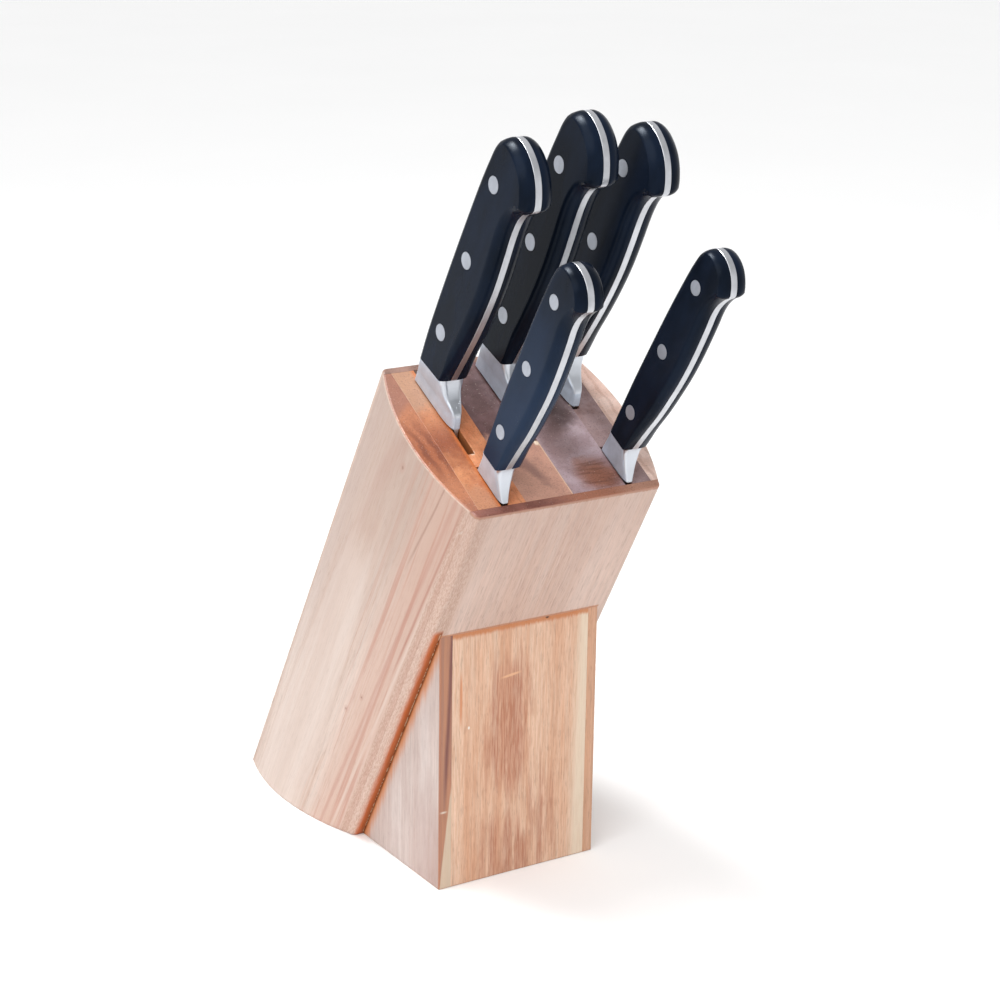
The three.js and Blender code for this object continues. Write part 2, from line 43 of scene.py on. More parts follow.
# ---------------- measures, in millimetres
# The block's own places are across from its middle, back from its front face, and up the lean.
# A knife's are across, towards the spine, and along from where it meets the block's top.

LEAN = math.radians(30)
TOP = 221.3
DEPTH = 95
HALF_EDGE = 47.5
BULGE = 9.8
CORNER = 3
FRONT_BOARD = 4.3
REAR_BOARD = 3.8
CORE_HALF = 45.1
GLUE = 0.02
SLOT = 3.6
LEFT_SLOTS = -33.6
LEFT_SEAM = -21
MIDDLE_SEAM = 3.5
RIGHT_SLOTS = 31.3
SHORT_END = 28.5
LEFT_START = 36.4
MIDDLE_START = 38.3
RIGHT_START = 53.5
FOOT_HALF = 42.5
FOOT_HEIGHT = 124
FOOT_LEFT = 6.5
FOOT_RIGHT = 5
FOOT_REACH = FOOT_HEIGHT * math.tan(LEAN)
SHIFT = (DEPTH / math.cos(LEAN) - FOOT_REACH) / 2

TANG_HALF = 1.55
SCALE_GAP = 0.04
RIVET_GAP = 0.12
RIVET_PROUD = 0.05
OUTLINE_POINTS = 170
EDGE_STEPS = 11
SHARP = math.radians(32)

# A family: where the handle joins the bolster, its half thickness at neck and butt, how far its edge
# is eased at the neck, flank and butt, the rivets' places and radius, where the butt begins, and the
# height below which the tongue's front keeps the duller satin steel, as painted shade at the slot's
# mouth. The outline is towards the spine, and along. Bolster stations: along, spine, ridge, front,
# the half thickness at each, rounding of the spine, and the rise towards the spine. The shoulder is a
# station without the first and the last.

LARGE = {
    "joint": 18.4, "neck": 7.2, "butt": 7.9, "flank_neck": 1.4, "flank": 3.8, "set_back": 2.4,
    "rivets": [37.8, 79, 120.2], "rivet": 3.8, "hook": 121.5, "tip": 6.3,
    "outline": [
        (8.8, 15.6), (9.9, 30), (10.4, 50), (10.5, 75), (10.3, 98), (9.9, 115), (9.2, 126), (8.2, 134.5),
        (5.6, 140.4), (2, 141.9), (-2.6, 141.9), (-6.5, 141), (-10.5, 139.4), (-14, 137.2),
        (-17.2, 134.2), (-19.8, 130.7), (-21.7, 127.2), (-22.5, 124), (-20.8, 121.2), (-17.4, 118.4),
        (-15.2, 113), (-14.6, 107), (-14.8, 101), (-15.7, 91), (-16.6, 76), (-16.3, 62), (-15.2, 48),
        (-13.5, 34.5), (-11.2, 18.4),
    ],
    "bolster": [
        (16.83, 8.8, -8.6, -11.2, 7.2, 6.4, 2.4, 2.6, -0.14),
        (15, 8.9, -9, -12, 6.8, 6.2, 2.4, 2.4, -0.12),
        (12.7, 9, -10.6, -13.8, 6.4, 5.2, 2.4, 2, -0.06),
        (10.8, 9, -13.7, -16.8, 6, 4.3, 2.1, 1.6, 0),
        (8.8, 9.1, -16.8, -20, 5.5, 3.4, 1.7, 1.4, 0),
        (7.2, 9.2, -19.2, -22.1, 5.1, 2.7, 1.3, 1.2, 0),
        (4, 9.3, -14.4, -23.6, 4.8, 3.5, 1.15, 1, 0),
    ],
    "shoulder": (9.4, -11.4, -24.6, 4.5, 3.8, 1.15, 0.9),
}
SMALL = {
    "joint": 15.6, "neck": 6.4, "butt": 7, "flank_neck": 1, "flank": 2.9, "set_back": 1.4,
    "rivets": [32.6, 70, 107.4], "rivet": 3.3, "hook": 113.5, "tip": 0,
    "outline": [
        (6.6, 14.8), (7.3, 28), (8.2, 45), (8.7, 65), (9, 85), (8.8, 102), (8.3, 113), (7.3, 119.5),
        (5.1, 123.7), (1.8, 124.9), (-2.4, 124.9), (-6, 123.9), (-9, 122.2), (-11.5, 119.8),
        (-13.4, 117.2), (-14.4, 114.6), (-12.8, 112), (-11.2, 108.3), (-10.3, 104.5), (-10.2, 100),
        (-10.9, 94), (-11.8, 84), (-12.4, 74), (-12.5, 64), (-11.9, 53), (-10.7, 40), (-8.8, 28),
        (-7, 15.6),
    ],
    "bolster": [
        (15.19, 6.6, -4.4, -7, 6.4, 5.8, 2.3, 2.3, -0.06),
        (13.4, 6.8, -3.4, -7.1, 5.6, 5.2, 2.3, 2.1, -0.1),
        (10, 7.1, -5.2, -8.2, 4.7, 4.3, 2.1, 1.8, 0),
        (6.6, 7.6, -6.7, -9.7, 3.9, 3.5, 1.8, 1.4, 0),
        (3.6, 8, -8.4, -11.6, 3.3, 2.9, 1.3, 1.1, 0),
    ],
    "shoulder": (8.4, -9.4, -13.5, 2.8, 2.5, 0.9, 0.8),
}
# Blade stations: along, spine, edge, half thickness at the spine. Scallops: pitch, depth, start, end.
BLADES = {
    "chef": {
        "heel": [(-4, 8.9, -26.6, 1.3), (-9, 8.9, -29.7, 1.3), (-14, 8.9, -32.4, 1.3)],
        "edge": [
            (-15, 8.9, -33, 1.3), (-30, 8.9, -33.7, 1.25), (-60, 8.7, -33.3, 1.2), (-95, 8.2, -30.9, 1.1),
            (-125, 7.2, -27, 1), (-150, 5.8, -22, 0.9), (-172, 3.6, -15.8, 0.75), (-188, 1, -9.2, 0.6),
            (-199, -2, -3.2, 0.35),
        ],
    },
    "santoku": {
        "heel": [(-4, 8.8, -26.6, 1.3), (-9, 8.8, -30.6, 1.3), (-14, 8.8, -34, 1.3)],
        "edge": [
            (-15, 8.8, -34.8, 1.3), (-40, 8.8, -35.6, 1.2), (-80, 8.8, -35.4, 1.1), (-120, 8.4, -33.8, 1),
            (-142, 6.4, -32.1, 0.9), (-158, 1.4, -30.2, 0.8), (-169, -7.7, -28.5, 0.65),
            (-176, -21, -26.8, 0.4),
        ],
    },
    "bread": {
        "heel": [(-3, 8.8, -23.6, 1.25), (-9, 8.8, -23.6, 1.25)],
        "edge": [
            (-10, 8.8, -23.6, 1.25), (-60, 8.8, -23.6, 1.15), (-120, 8.8, -23.6, 1.05),
            (-175, 8.8, -23.6, 0.95), (-188, 7.8, -21.8, 0.85), (-196, 4.6, -17.4, 0.7),
            (-201, -1.4, -10.4, 0.4),
        ],
        "scallop": (8, 1.2, -16, -172),
    },
    "utility": {
        "heel": [(-2.5, 6.9, -12.6, 1.05), (-6, 6.9, -12.9, 1.05)],
        "edge": [
            (-7, 6.9, -13.3, 1.05), (-35, 6.8, -13.3, 1), (-70, 6.2, -12.5, 0.9), (-98, 4.8, -10.3, 0.75),
            (-118, 2.4, -6.6, 0.6), (-129, -1, -2.3, 0.35),
        ],
    },
    "paring": {
        "heel": [(-2.5, 6.8, -12.2, 1), (-5, 6.8, -12.5, 1)],
        "edge": [
            (-6, 6.8, -12.9, 1), (-28, 6.4, -12.8, 0.95), (-52, 5.2, -11.2, 0.85), (-72, 3.2, -7.8, 0.65),
            (-84, 0.8, -4.2, 0.45), (-90, -1.2, -2.2, 0.3),
        ],
    },
}
# Name, family, across, back, lift, lean, tilt, cant, handle and rivet lengthening.
KNIVES = [
    ("chef", LARGE, -31.95, 75.9, 0, 1, 0, 0, 1, 1),
    ("santoku", LARGE, 1.7, 79.6, 0.9, 0.1, 0.3, 0, 1.045, 1.02),
    ("bread", LARGE, 33.1, 79, 1.2, 1.6, 0.1, 1.6, 1, 1),
    ("utility", SMALL, -31.7, 18.2, 0.2, 1.9, 0, 0, 1, 1),
    ("paring", SMALL, 33.4, 18.1, 1.2, 4.2, 0.7, 0, 1.025, 1.02),
]

STANDING = Matrix.Translation((0, -SHIFT * MM, 0))
BLOCK = STANDING @ Matrix.Rotation(LEAN, 4, "X")


# ---------------- material graphs

def screen(red, green, blue):
    """A linear colour from screen values of 0 to 255."""
    def linear(v):
        v /= 255
        return v / 12.92 if v <= 0.04045 else ((v + 0.055) / 1.055) ** 2.4
    return (linear(red), linear(green), linear(blue), 1)


class Val:
    """A value that changes over the surface, with arithmetic that adds nodes."""

    def __init__(self, graph, socket):
        self.graph = graph
        self.socket = socket

    def __add__(self, other):
        return self.graph.math("ADD", self, other)

    def __sub__(self, other):
        return self.graph.math("SUBTRACT", self, other)

    def __rsub__(self, other):
        return self.graph.math("SUBTRACT", other, self)

    def __mul__(self, other):
        return self.graph.math("MULTIPLY", self, other)


class Graph:
    """One node material. Places are in millimetres: up the leaning body, or up the foot."""

    def __init__(self, name, along=BLOCK, **uniform):
        self.material = bpy.data.materials.new(name)
        self.material.use_nodes = True
        self.tree = self.material.node_tree
        self.shader = self.tree.nodes["Principled BSDF"]
        for key, value in uniform.items():
            self.shader.inputs[key.replace("_", " ")].default_value = value
        coords = self.node("ShaderNodeTexCoord").outputs["Object"]
        own = self.node("ShaderNodeMapping")
        self.put(own.inputs["Vector"], coords)
        inverse = along.inverted()
        own.inputs["Scale"].default_value = (1 / MM, 1 / MM, 1 / MM)
        own.inputs["Rotation"].default_value = inverse.to_euler()
        own.inputs["Location"].default_value = inverse.translation / MM
        self.place = own.outputs[0]
        parts = self.node("ShaderNodeSeparateXYZ")
        self.put(parts.inputs[0], self.place)
        self.x, self.y, self.z = (Val(self, o) for o in parts.outputs)

    def node(self, kind, **settings):
        made = self.tree.nodes.new(kind)
        for key, value in settings.items():
            setattr(made, key, value)
        return made

    def put(self, socket, value):
        if isinstance(value, Val):
            value = value.socket
        if isinstance(value, bpy.types.NodeSocket):
            self.tree.links.new(value, socket)
        else:
            socket.default_value = value

    def math(self, operation, *values):
        made = self.node("ShaderNodeMath", operation=operation)
        for socket, value in zip(made.inputs, values):
            self.put(socket, value)
        return Val(self, made.outputs[0])

    def most(self, a, b):
        return self.math("MAXIMUM", a, b)

    def least(self, a, b):
        return self.math("MINIMUM", a, b)

    def step(self, value, start, end):
        """0 at start and 1 at end, smoothly."""
        made = self.node("ShaderNodeMapRange", interpolation_type="SMOOTHSTEP")
        for socket, v in zip(made.inputs, (value, start, end, 0, 1)):
            self.put(socket, v)
        return Val(self, made.outputs[0])

    def band(self, value, width):
        """1 where value is 0, falling to 0 at width either side."""
        return self.step(self.math("ABSOLUTE", value), width, 0)

    def spot(self, a, b, radius_a, radius_b):
        """1 where a and b are both 0, falling to 0 at those radii."""
        a = a * (1 / radius_a)
        b = b * (1 / radius_b)
        return self.step(a * a + b * b, 1, 0)

    def vector(self, x, y, z):
        made = self.node("ShaderNodeCombineXYZ")
        for socket, value in zip(made.inputs, (x, y, z)):
            self.put(socket, value)
        return made.outputs[0]

    def noise(self, scale, seed, detail=2.0, rough=0.5, at=None):
        """Noise of about 1 / scale millimetres a bump, along each axis."""
        moved = self.node("ShaderNodeVectorMath", operation="MULTIPLY_ADD")
        self.put(moved.inputs[0], at or self.place)
        moved.inputs[1].default_value = scale
        moved.inputs[2].default_value = (seed * 7.31, seed * -3.17, seed * 5.73)
        made = self.node("ShaderNodeTexNoise")
        made.inputs["Scale"].default_value = 1
        made.inputs["Detail"].default_value = detail
        made.inputs["Roughness"].default_value = rough
        self.put(made.inputs["Vector"], moved.outputs[0])
        return Val(self, made.outputs[0])

    def mix(self, share, a, b):
        made = self.node("ShaderNodeMix", data_type="RGBA", clamp_factor=True)
        self.put(made.inputs[0], share)
        self.put(made.inputs[6], a)
        self.put(made.inputs[7], b)
        return made.outputs[2]

    def shade(self, colour, by):
        made = self.node("ShaderNodeVectorMath", operation="SCALE")
        self.put(made.inputs[0], colour)
        self.put(made.inputs["Scale"], by)
        return made.outputs[0]

    def bump(self, height, distance, strength=1.0):
        made = self.node("ShaderNodeBump")
        made.inputs["Distance"].default_value = distance * MM
        made.inputs["Strength"].default_value = strength
        self.put(made.inputs["Height"], height)
        return made.outputs[0]

    def finish(self, colour, roughness, normal):
        self.put(self.shader.inputs["Base Color"], colour)
        self.put(self.shader.inputs["Roughness"], roughness)
        self.put(self.shader.inputs["Normal"], normal)
        return self.material


class Coat:
    """A colour that is painted over, layer by layer."""

    def __init__(self, graph, colour):
        self.graph = graph
        self.colour = colour

    def tint(self, share, red, green, blue):
        self.colour = self.graph.mix(share, self.colour, screen(red, green, blue))

    def shade(self, by):
        self.colour = self.graph.shade(self.colour, by)


# ---------------- wood
# In the paint functions places and widths are millimetres, shares run from 0 to 1, and colours
# are screen values. w is back from the block's front face, t up its lean.

def wood(name, pale, deep, end_pale, end_deep, seed, tone=0.78, figure=1.0, dashes=1.0,
         leaning=True, paint=None, paint_end=None):
    """Oiled wood with its grain along z, and darker end grain where a board is cut across.
    tone is how light the faces along the grain are, figure how strong their long streaks,
    and dashes their short open pores. paint and paint_end add what only this board shows."""
    pale, deep, end_pale, end_deep = (screen(*c) for c in (pale, deep, end_pale, end_deep))
    g = Graph(name, BLOCK if leaning else STANDING, Specular_IOR_Level=0.4)
    wander = (g.noise((0.035, 0.035, 0.007), seed) - 0.5) * 9
    at = g.vector(g.x + wander, g.y + wander, g.z)
    broad = g.noise((0.09, 0.09, 0.0035), seed + 1, 3, 0.5, at)
    streak = g.noise((0.42, 0.42, 0.008), seed + 2, 4, 0.6, at)
    fibre = g.noise((1.15, 1.15, 0.03), seed + 3, 3, 0.65)
    mottle = g.noise((0.3, 0.3, 0.06), seed + 8, 3, 0.6)
    pores = g.step(g.noise((1.5, 1.5, 0.15), seed + 4, 2, 0.6), 0.53, 0.66)
    side = Coat(g, g.mix(g.step(broad * 0.6 + streak * 0.4, 0.36, 0.64), pale, deep))
    fine = (fibre - 0.5) * 0.5 + (streak - 0.5) * (0.24 * figure) + (mottle - 0.5) * 0.18
    side.shade(fine - pores * (0.17 * dashes) + 1.04)
    g.streak, g.fibre = streak, fibre
    if paint:
        paint(g, side)
    side.shade(tone)
    patch = g.noise((0.1, 0.1, 0.01), seed + 5, 3, 0.55, at)
    dots = g.step(g.noise((1.3, 1.3, 0.03), seed + 6, 1.5, 0.6), 0.58, 0.7)
    speck = g.noise((1.1, 1.1, 0.05), seed + 7, 4, 0.7)
    dust = g.step(g.noise((1.5, 1.5, 1.5), seed + 9, 1, 0.5), 0.69, 0.77)
    end = Coat(g, g.mix(g.step(patch * 0.75 + speck * 0.25, 0.36, 0.62), end_pale, end_deep))
    g.patch, g.speck = patch, speck
    if paint_end:
        paint_end(g, end)
    end.shade((speck - 0.5) * 0.6 - dots * 0.25 + 0.88)
    end.tint(dust * 0.32, 214, 194, 180)
    bottom = g.step(g.z + g.y * math.tan(LEAN) if leaning else g.z, 0.3, 0.05)
    is_end = g.most(g.step(g.z, TOP - 0.5, TOP - 0.12), bottom) if leaning else bottom
    colour = g.mix(is_end, side.colour, end.colour)
    roughness = (streak - 0.5) * 0.3 + pores * 0.2 + dots * is_end * 0.15 - is_end * 0.06 + 0.48
    height = fibre * 0.5 - pores * (1 - is_end) * 0.8 - dots * is_end * 0.9 + streak * 0.4
    return g.finish(colour, roughness, g.bump(height, 0.06, 0.7))


def paint_left(g, side):
    """The bowed left side: a pale tongue of sapwood, pinker streaks near the front."""
    w, t = g.y, g.z
    ragged = g.noise((0.1, 0.1, 0.01), 61, 3, 0.6) - 0.5
    side.tint(g.step(t, 60, 215) * 0.75, 214, 184, 168)
    side.shade(g.step(t, 230, 60) * 0.14 + 0.88)
    u = (w - 57 + (t - 60) * 0.015) * (1 / 15.5)
    u = u * u
    inside = 157 - t - u * u * 40 + ragged * 34
    side.tint(g.band(inside + 8, 16) * g.step(t, 10, 120) * 0.2, 208, 172, 154)
    side.tint(g.step(inside, -8, 26) * 0.55, 236, 217, 206)
    centre = (220 - g.most(t, 60)) * 0.2 + 52
    purple = g.band(w - centre + ragged * 20, 8) * g.step(t, 110, 200)
    side.tint(purple * (g.streak * 0.5 + 0.2), 196, 156, 140)
    side.tint(g.band(w - 66 + ragged * 20, 14) * g.step(t, 40, 100) * 0.35, 212, 184, 170)
    rear = g.step(w + ragged * 20, 68, 86) * g.step(t, 20, 110)
    side.tint(rear * 0.6, 204, 178, 166)
    pink = g.step(w + ragged * 16, 34, 20)
    side.tint(pink * 0.6, 224, 184, 165)
    red = g.step(g.noise((0.34, 0.34, 0.005), 62, 3, 0.6), 0.5, 0.64) * g.step(w, 46, 28)
    side.tint(red * 0.55, 202, 142, 122)
    line = g.band(w - 19.5 - (221 - t) * 0.09 + ragged * 3, 0.8) * g.step(t, 160, 185)
    side.tint(line * 0.5, 160, 112, 96)
    near = w - 7.8 - (214 - t) * 0.034
    side.tint(g.band(near + ragged * 1.5, 1.0) * g.step(t, 96, 130) * 0.7, 190, 128, 110)
    side.tint(g.band(near + 2.2 + ragged * 1.5, 1.3) * 0.6, 238, 216, 202)
    side.tint(g.band(near - 4.5 + ragged * 3, 1.6) * 0.45, 200, 142, 124)
    for high, deep_in, size in ((207.7, 46.8, 1.3), (79.8, 22.3, 0.8), (64.8, 28.7, 0.9)):
        side.tint(g.spot(t - high, w - deep_in, size * 3.4, size * 2) * 0.4, 200, 154, 136)
        side.tint(g.spot(t - high, w - deep_in, size, size * 0.8) * 0.6, 150, 104, 88)
    scrape = g.spot(t - 209 + (w - 4) * 1.6, w - 4, 1.4, 3)
    scrape = scrape * g.step(g.noise((1.2, 1.2, 1.2), 64, 1), 0.4, 0.5)
    side.tint(scrape * 0.8, 255, 246, 238)
    porous_strip(g, side, g.step(w, 8.4, 7.6))
    # Painted highlight on the eased top edge.
    arris_highlight(g, side)


def porous_strip(g, side, where):
    """The corner of the left and front boards is open-pored and browner."""
    dotted = g.step(g.noise((2.1, 2.1, 0.5), 63, 3, 0.7), 0.4, 0.62)
    side.tint(where * 0.6, 222, 190, 172)
    side.tint(where * dotted * 0.42, 170, 122, 98)


def arris_highlight(g, side):
    """The eased top edge of an outer board, with a pale painted highlight in broken patches."""
    # Painted highlight: a pale band along the eased top edge.
    edge_highlight = g.step(g.z, TOP - 1.0, TOP - 0.8)
    broken = g.step(g.noise((0.3, 0.3, 0.3), 71, 3, 0.6), 0.36, 0.56)
    side.tint(edge_highlight * (broken * 0.5 + 0.05), 244, 222, 204)


def paint_front(g, side):
    """The front board: an oiled top edge, and orange glue squeezed out beside the foot."""
    x, t = g.x, g.z
    porous_strip(g, side, g.step(x, -38, -42))
    oiled = t + (g.noise((1.1, 1.1, 1.1), 66, 3, 0.6) - 0.5) * 1.6
    side.tint(g.step(oiled, TOP - 1.9, TOP - 1.1) * 0.85, 182, 116, 82)
    side.tint(g.step(t, 160, 215) * 0.3, 200, 168, 154)
    ragged = (g.noise((0.5, 0.5, 0.06), 67, 3, 0.6) - 0.5) * 6
    below = g.step(t, 149, 145)
    edge = x * -1
    glue = g.step(edge + ragged * 0.6, 48.4, 45.2) * g.step(edge, 41.8, 42.4)
    side.tint(glue * below * (g.fibre * 0.3 + 0.8), 214, 106, 38)
    side.tint(g.band(edge - 43.4, 2.6) * below * (g.fibre * 0.8 + 0.3), 150, 80, 34)
    side.tint(g.band(edge - 42.7, 0.35) * below * 0.85, 60, 34, 18)
    squeezed = g.step(g.noise((1.1, 1.1, 0.6), 68, 1, 0.5), 0.48, 0.54)
    side.tint(g.band(edge - 43, 0.45) * below * squeezed * 0.85, 236, 212, 180)
    line = g.band(t - 143.6 + ragged * 0.08, 1.1) * g.step(g.math("ABSOLUTE", x), 43.4, 42.4)
    side.tint(line * 0.8, 196, 118, 64)


def end_of_left(g, end):
    """Orange-brown with long arcs of darker figure, and purple-brown towards the back."""
    w = g.y + (g.speck - 0.5) * 6
    arcs = g.math("SINE", g.x + 50 + (w - 34) * (w - 34) * 0.005 + g.patch * 7) * 0.5 + 0.5
    end.tint(g.step(w, 76, 64) * 0.9, 184, 118, 82)
    end.tint(g.band(w - 42, 28) * 0.75, 154, 82, 48)
    end.tint(g.band(w - 42, 28) * g.step(arcs, 0.1, 0.95) * 0.75, 118, 58, 34)
    end.tint(g.step(w, 30, 10) * 0.5, 176, 110, 76)
    end.tint(g.step(w, 14, 8) * 0.5, 140, 88, 70)
    end.tint(g.step(w - (g.x + 50) * 0.9, 66, 71) * 0.8, 152, 102, 84)


def end_of_right(g, end):
    """Pale, with faint arcs."""
    arcs = g.math("SINE", (g.x - 50) * 1.1 + g.y * 0.05 + g.patch * 7) * 0.5 + 0.5
    end.tint(g.step(g.y, 45, 80) * 0.4, 196, 158, 144)
    end.tint(g.step(arcs, 0.6, 1) * 0.4, 176, 134, 116)


def end_of_front(g, end):
    """Darkest at the left."""
    x = g.x + (g.speck - 0.5) * 8
    end.tint(g.step(x, -12, 8) * 0.9, 158, 102, 78)
    end.tint(g.step(x, 22, 36) * 0.8, 176, 130, 108)


def chips(g, end):
    """Small pale bruises where the slots end."""
    for x, w, long, wide in ((-31.3, 37.4, 2.6, 1.7), (2.1, 37, 2.2, 1.6), (32.8, 56.4, 2.2, 2.6)):
        rough = (g.noise((0.9, 0.9, 0.9), 77, 3, 0.6) - 0.5) * 3
        end.tint(g.spot(g.x - x + rough, g.y - w - rough, wide, long) * 0.9, 244, 224, 200)


def slot_stain_and_shade(g, side):
    """The oiled walls of a slot are stained a strong orange near its mouth, and painted dark with shade
    further down.
    """
    # Painted shade deeper in the slot.
    side.tint(g.step(g.z, 206, 190) * 0.8, 92, 56, 36)
    # Orange stain near the slot's mouth.
    side.tint(g.step(g.z, 205, 219) * 0.8, 170, 98, 50)


def end_of_strip_1(g, end):
    """Brown in the middle and paler at both ends, with a painted orange shadow beside the slot."""
    w = g.y + (g.patch - 0.5) * 24
    end.tint(g.step(w, 60, 72) * 0.85, 178, 138, 112)
    end.tint(g.band(w - 43, 24) * 0.95, 144, 76, 46)
    end.tint(g.step(w, 22, 12) * 0.85, 176, 120, 88)
    # Painted shadow of the bolster: a deep orange band along the slot's edge.
    end.tint(g.step(g.x, -36.4, -34) * 0.7, 206, 112, 50)
    chips(g, end)


def end_of_strip_2(g, end):
    lines = g.noise((0.9, 0.12, 0.01), 79, 3, 0.6)
    end.tint(g.step(lines, 0.5, 0.7) * 0.4, 164, 96, 60)
    chips(g, end)


def end_of_strip_3(g, end):
    """Dark behind, paler and speckled in front, with a bright line along the seam."""
    w = g.y + (g.patch - 0.5) * 20
    end.tint(g.step(w, 47, 40) * 0.9, 206, 154, 132)
    specks = g.step(g.speck * 0.6 + g.patch * 0.4, 0.48, 0.6) * g.step(w, 47, 40)
    end.tint(specks * 0.45, 136, 96, 88)
    end.tint(g.spot(g.x + 10 + (w - 26) * 0.3, w - 26, 5, 16) * 0.6, 120, 84, 80)
    end.tint(g.band(g.x - 3.1, 0.45) * g.step(g.y, 38, 36.5) * 0.85, 220, 190, 162)
    chips(g, end)


def end_of_strip_4(g, end):
    """Nearly black towards the back, with a red-brown patch at the front."""
    w = g.y + (g.patch - 0.5) * 14
    end.tint(g.spot(g.x - 20, w - 60, 19, 22), 60, 36, 32)
    end.tint(g.spot(g.x - 12, w - 36, 12, 24) * 0.5, 124, 92, 86)
    end.tint(g.spot(g.x - 22, w - 13, 15, 13) * 0.95, 146, 90, 66)
    lines = g.noise((0.07, 0.6, 0.05), 88, 3, 0.6)
    end.tint(g.spot(g.x - 22, w - 13, 15, 13) * g.step(lines, 0.46, 0.62) * 0.7, 104, 60, 46)
    chips(g, end)


def paint_foot(g, side):
    """The upright foot: a cream sapwood streak, darker heart and stains on its front."""
    x, z = g.x, g.z
    ragged = g.noise((0.14, 0.14, 0.012), 81, 3, 0.6) - 0.5
    cloud = g.noise((0.22, 0.22, 0.05), 85, 3, 0.6)
    lines = g.step(g.noise((1.2, 1.2, 0.07), 82, 3, 0.65), 0.4, 0.62)
    side.tint(lines * 0.4, 206, 150, 114)
    near = g.spot(x + 5 + ragged * 10, z - 74, 20, 56)
    near = g.most(near, g.spot(x + 6 + ragged * 10, z - 6, 26, 40) * 0.9)
    near = g.most(near, g.spot(x - 13 + ragged * 10, z - 24, 14, 50) * 0.8)
    grown = g.noise((0.2, 0.2, 0.014), 86, 4, 0.65) * 0.7 + cloud * 0.3
    heart = g.step(grown + near * 0.22, 0.56, 0.74) * (near * 0.7 + 0.1)
    side.tint(heart * (lines * 0.4 + 0.6), 178, 108, 78)
    sap = g.step(x + ragged * 5 - (z - 60) * 0.012, 28, 34.5)
    side.tint(sap * (lines * -0.15 + 0.9), 238, 218, 194)
    mark = g.band(x + 31.4 + ragged * 1.2, 0.9) * g.band(z - 92, 17)
    side.tint(g.least(mark * 2, 1) * 0.8, 220, 142, 94)
    dash = g.band(z - 99 - (x + 4.5) * 0.12, 0.9) * g.band(x + 4.5, 7)
    side.tint(g.least(dash * 2, 1) * 0.9, 240, 186, 146)
    side.tint(g.spot(x + 27, z - 77.4, 0.7, 1), 250, 242, 232)
    edge = g.step(z + (g.fibre - 0.5) * 3, FOOT_HEIGHT - 3.2, FOOT_HEIGHT - 1.2)
    side.tint(edge * 0.85, 204, 124, 70)
    side.tint(g.spot(x - 14.7, z - FOOT_HEIGHT + 0.3, 1.3, 0.9), 84, 48, 32)


def paint_foot_left(g, side):
    """The left strip: pinkish white on its side, brown with a purple streak on the front."""
    y, z = g.y, g.z
    front = g.step(y, -FOOT_REACH + 1.1, -FOOT_REACH + 0.3)
    ragged = g.noise((0.3, 0.3, 0.02), 83, 3, 0.6) - 0.5
    blotch = g.noise((0.12, 0.12, 0.03), 84, 4, 0.65)
    side.tint(g.step(blotch, 0.45, 0.65) * (1 - front) * 0.5, 208, 184, 176)
    side.tint(front * 0.92, 184, 128, 102)
    grown = g.noise((0.9, 0.9, 0.018), 87, 3, 0.6)
    side.tint(front * g.step(grown, 0.44, 0.6) * 0.6, 216, 150, 112)
    purple = g.band(g.x + 36.4 + (120 - z) * 0.036 + ragged * 2, 1.7) * g.step(z, 36, 60)
    side.tint(front * purple * 0.85, 132, 80, 76)
    side.tint(front * g.step(g.x, -40.9, -42.2) * 0.5, 196, 128, 96)
    joint = (FOOT_HEIGHT - z) * math.tan(LEAN) - y - FOOT_REACH
    stain = g.step(joint + (g.fibre - 0.5) * 4 + ragged * 8, 8, 0) * (1 - front)
    side.tint(stain * 0.95, 232, 150, 94)
    side.tint(g.step(joint, 1.7, 0.4) * (1 - front) * 0.85, 170, 94, 40)
    low = (1 - front) * g.step(z, 60, 6) * g.step(y + ragged * 16, -FOOT_REACH + 34, -FOOT_REACH + 6)
    side.tint(low * (g.fibre * 0.8 + 0.1), 190, 150, 138)
    wedge = front * g.step(z, 54, 44) * g.step(g.x - z * 0.115 + ragged, -42.4, -41.7)
    side.tint(wedge * (g.fibre * 0.5 + 0.6), 236, 214, 188)
    dash = front * g.band(z - 38.3, 0.8) * g.band(g.x + 40.2, 2.6)
    side.tint(dash * 0.9, 250, 236, 218)


def paint_foot_right(g, side):
    side.tint(g.step(g.x, FOOT_HALF - 1.6, FOOT_HALF - 0.8) * 0.4, 180, 134, 108)


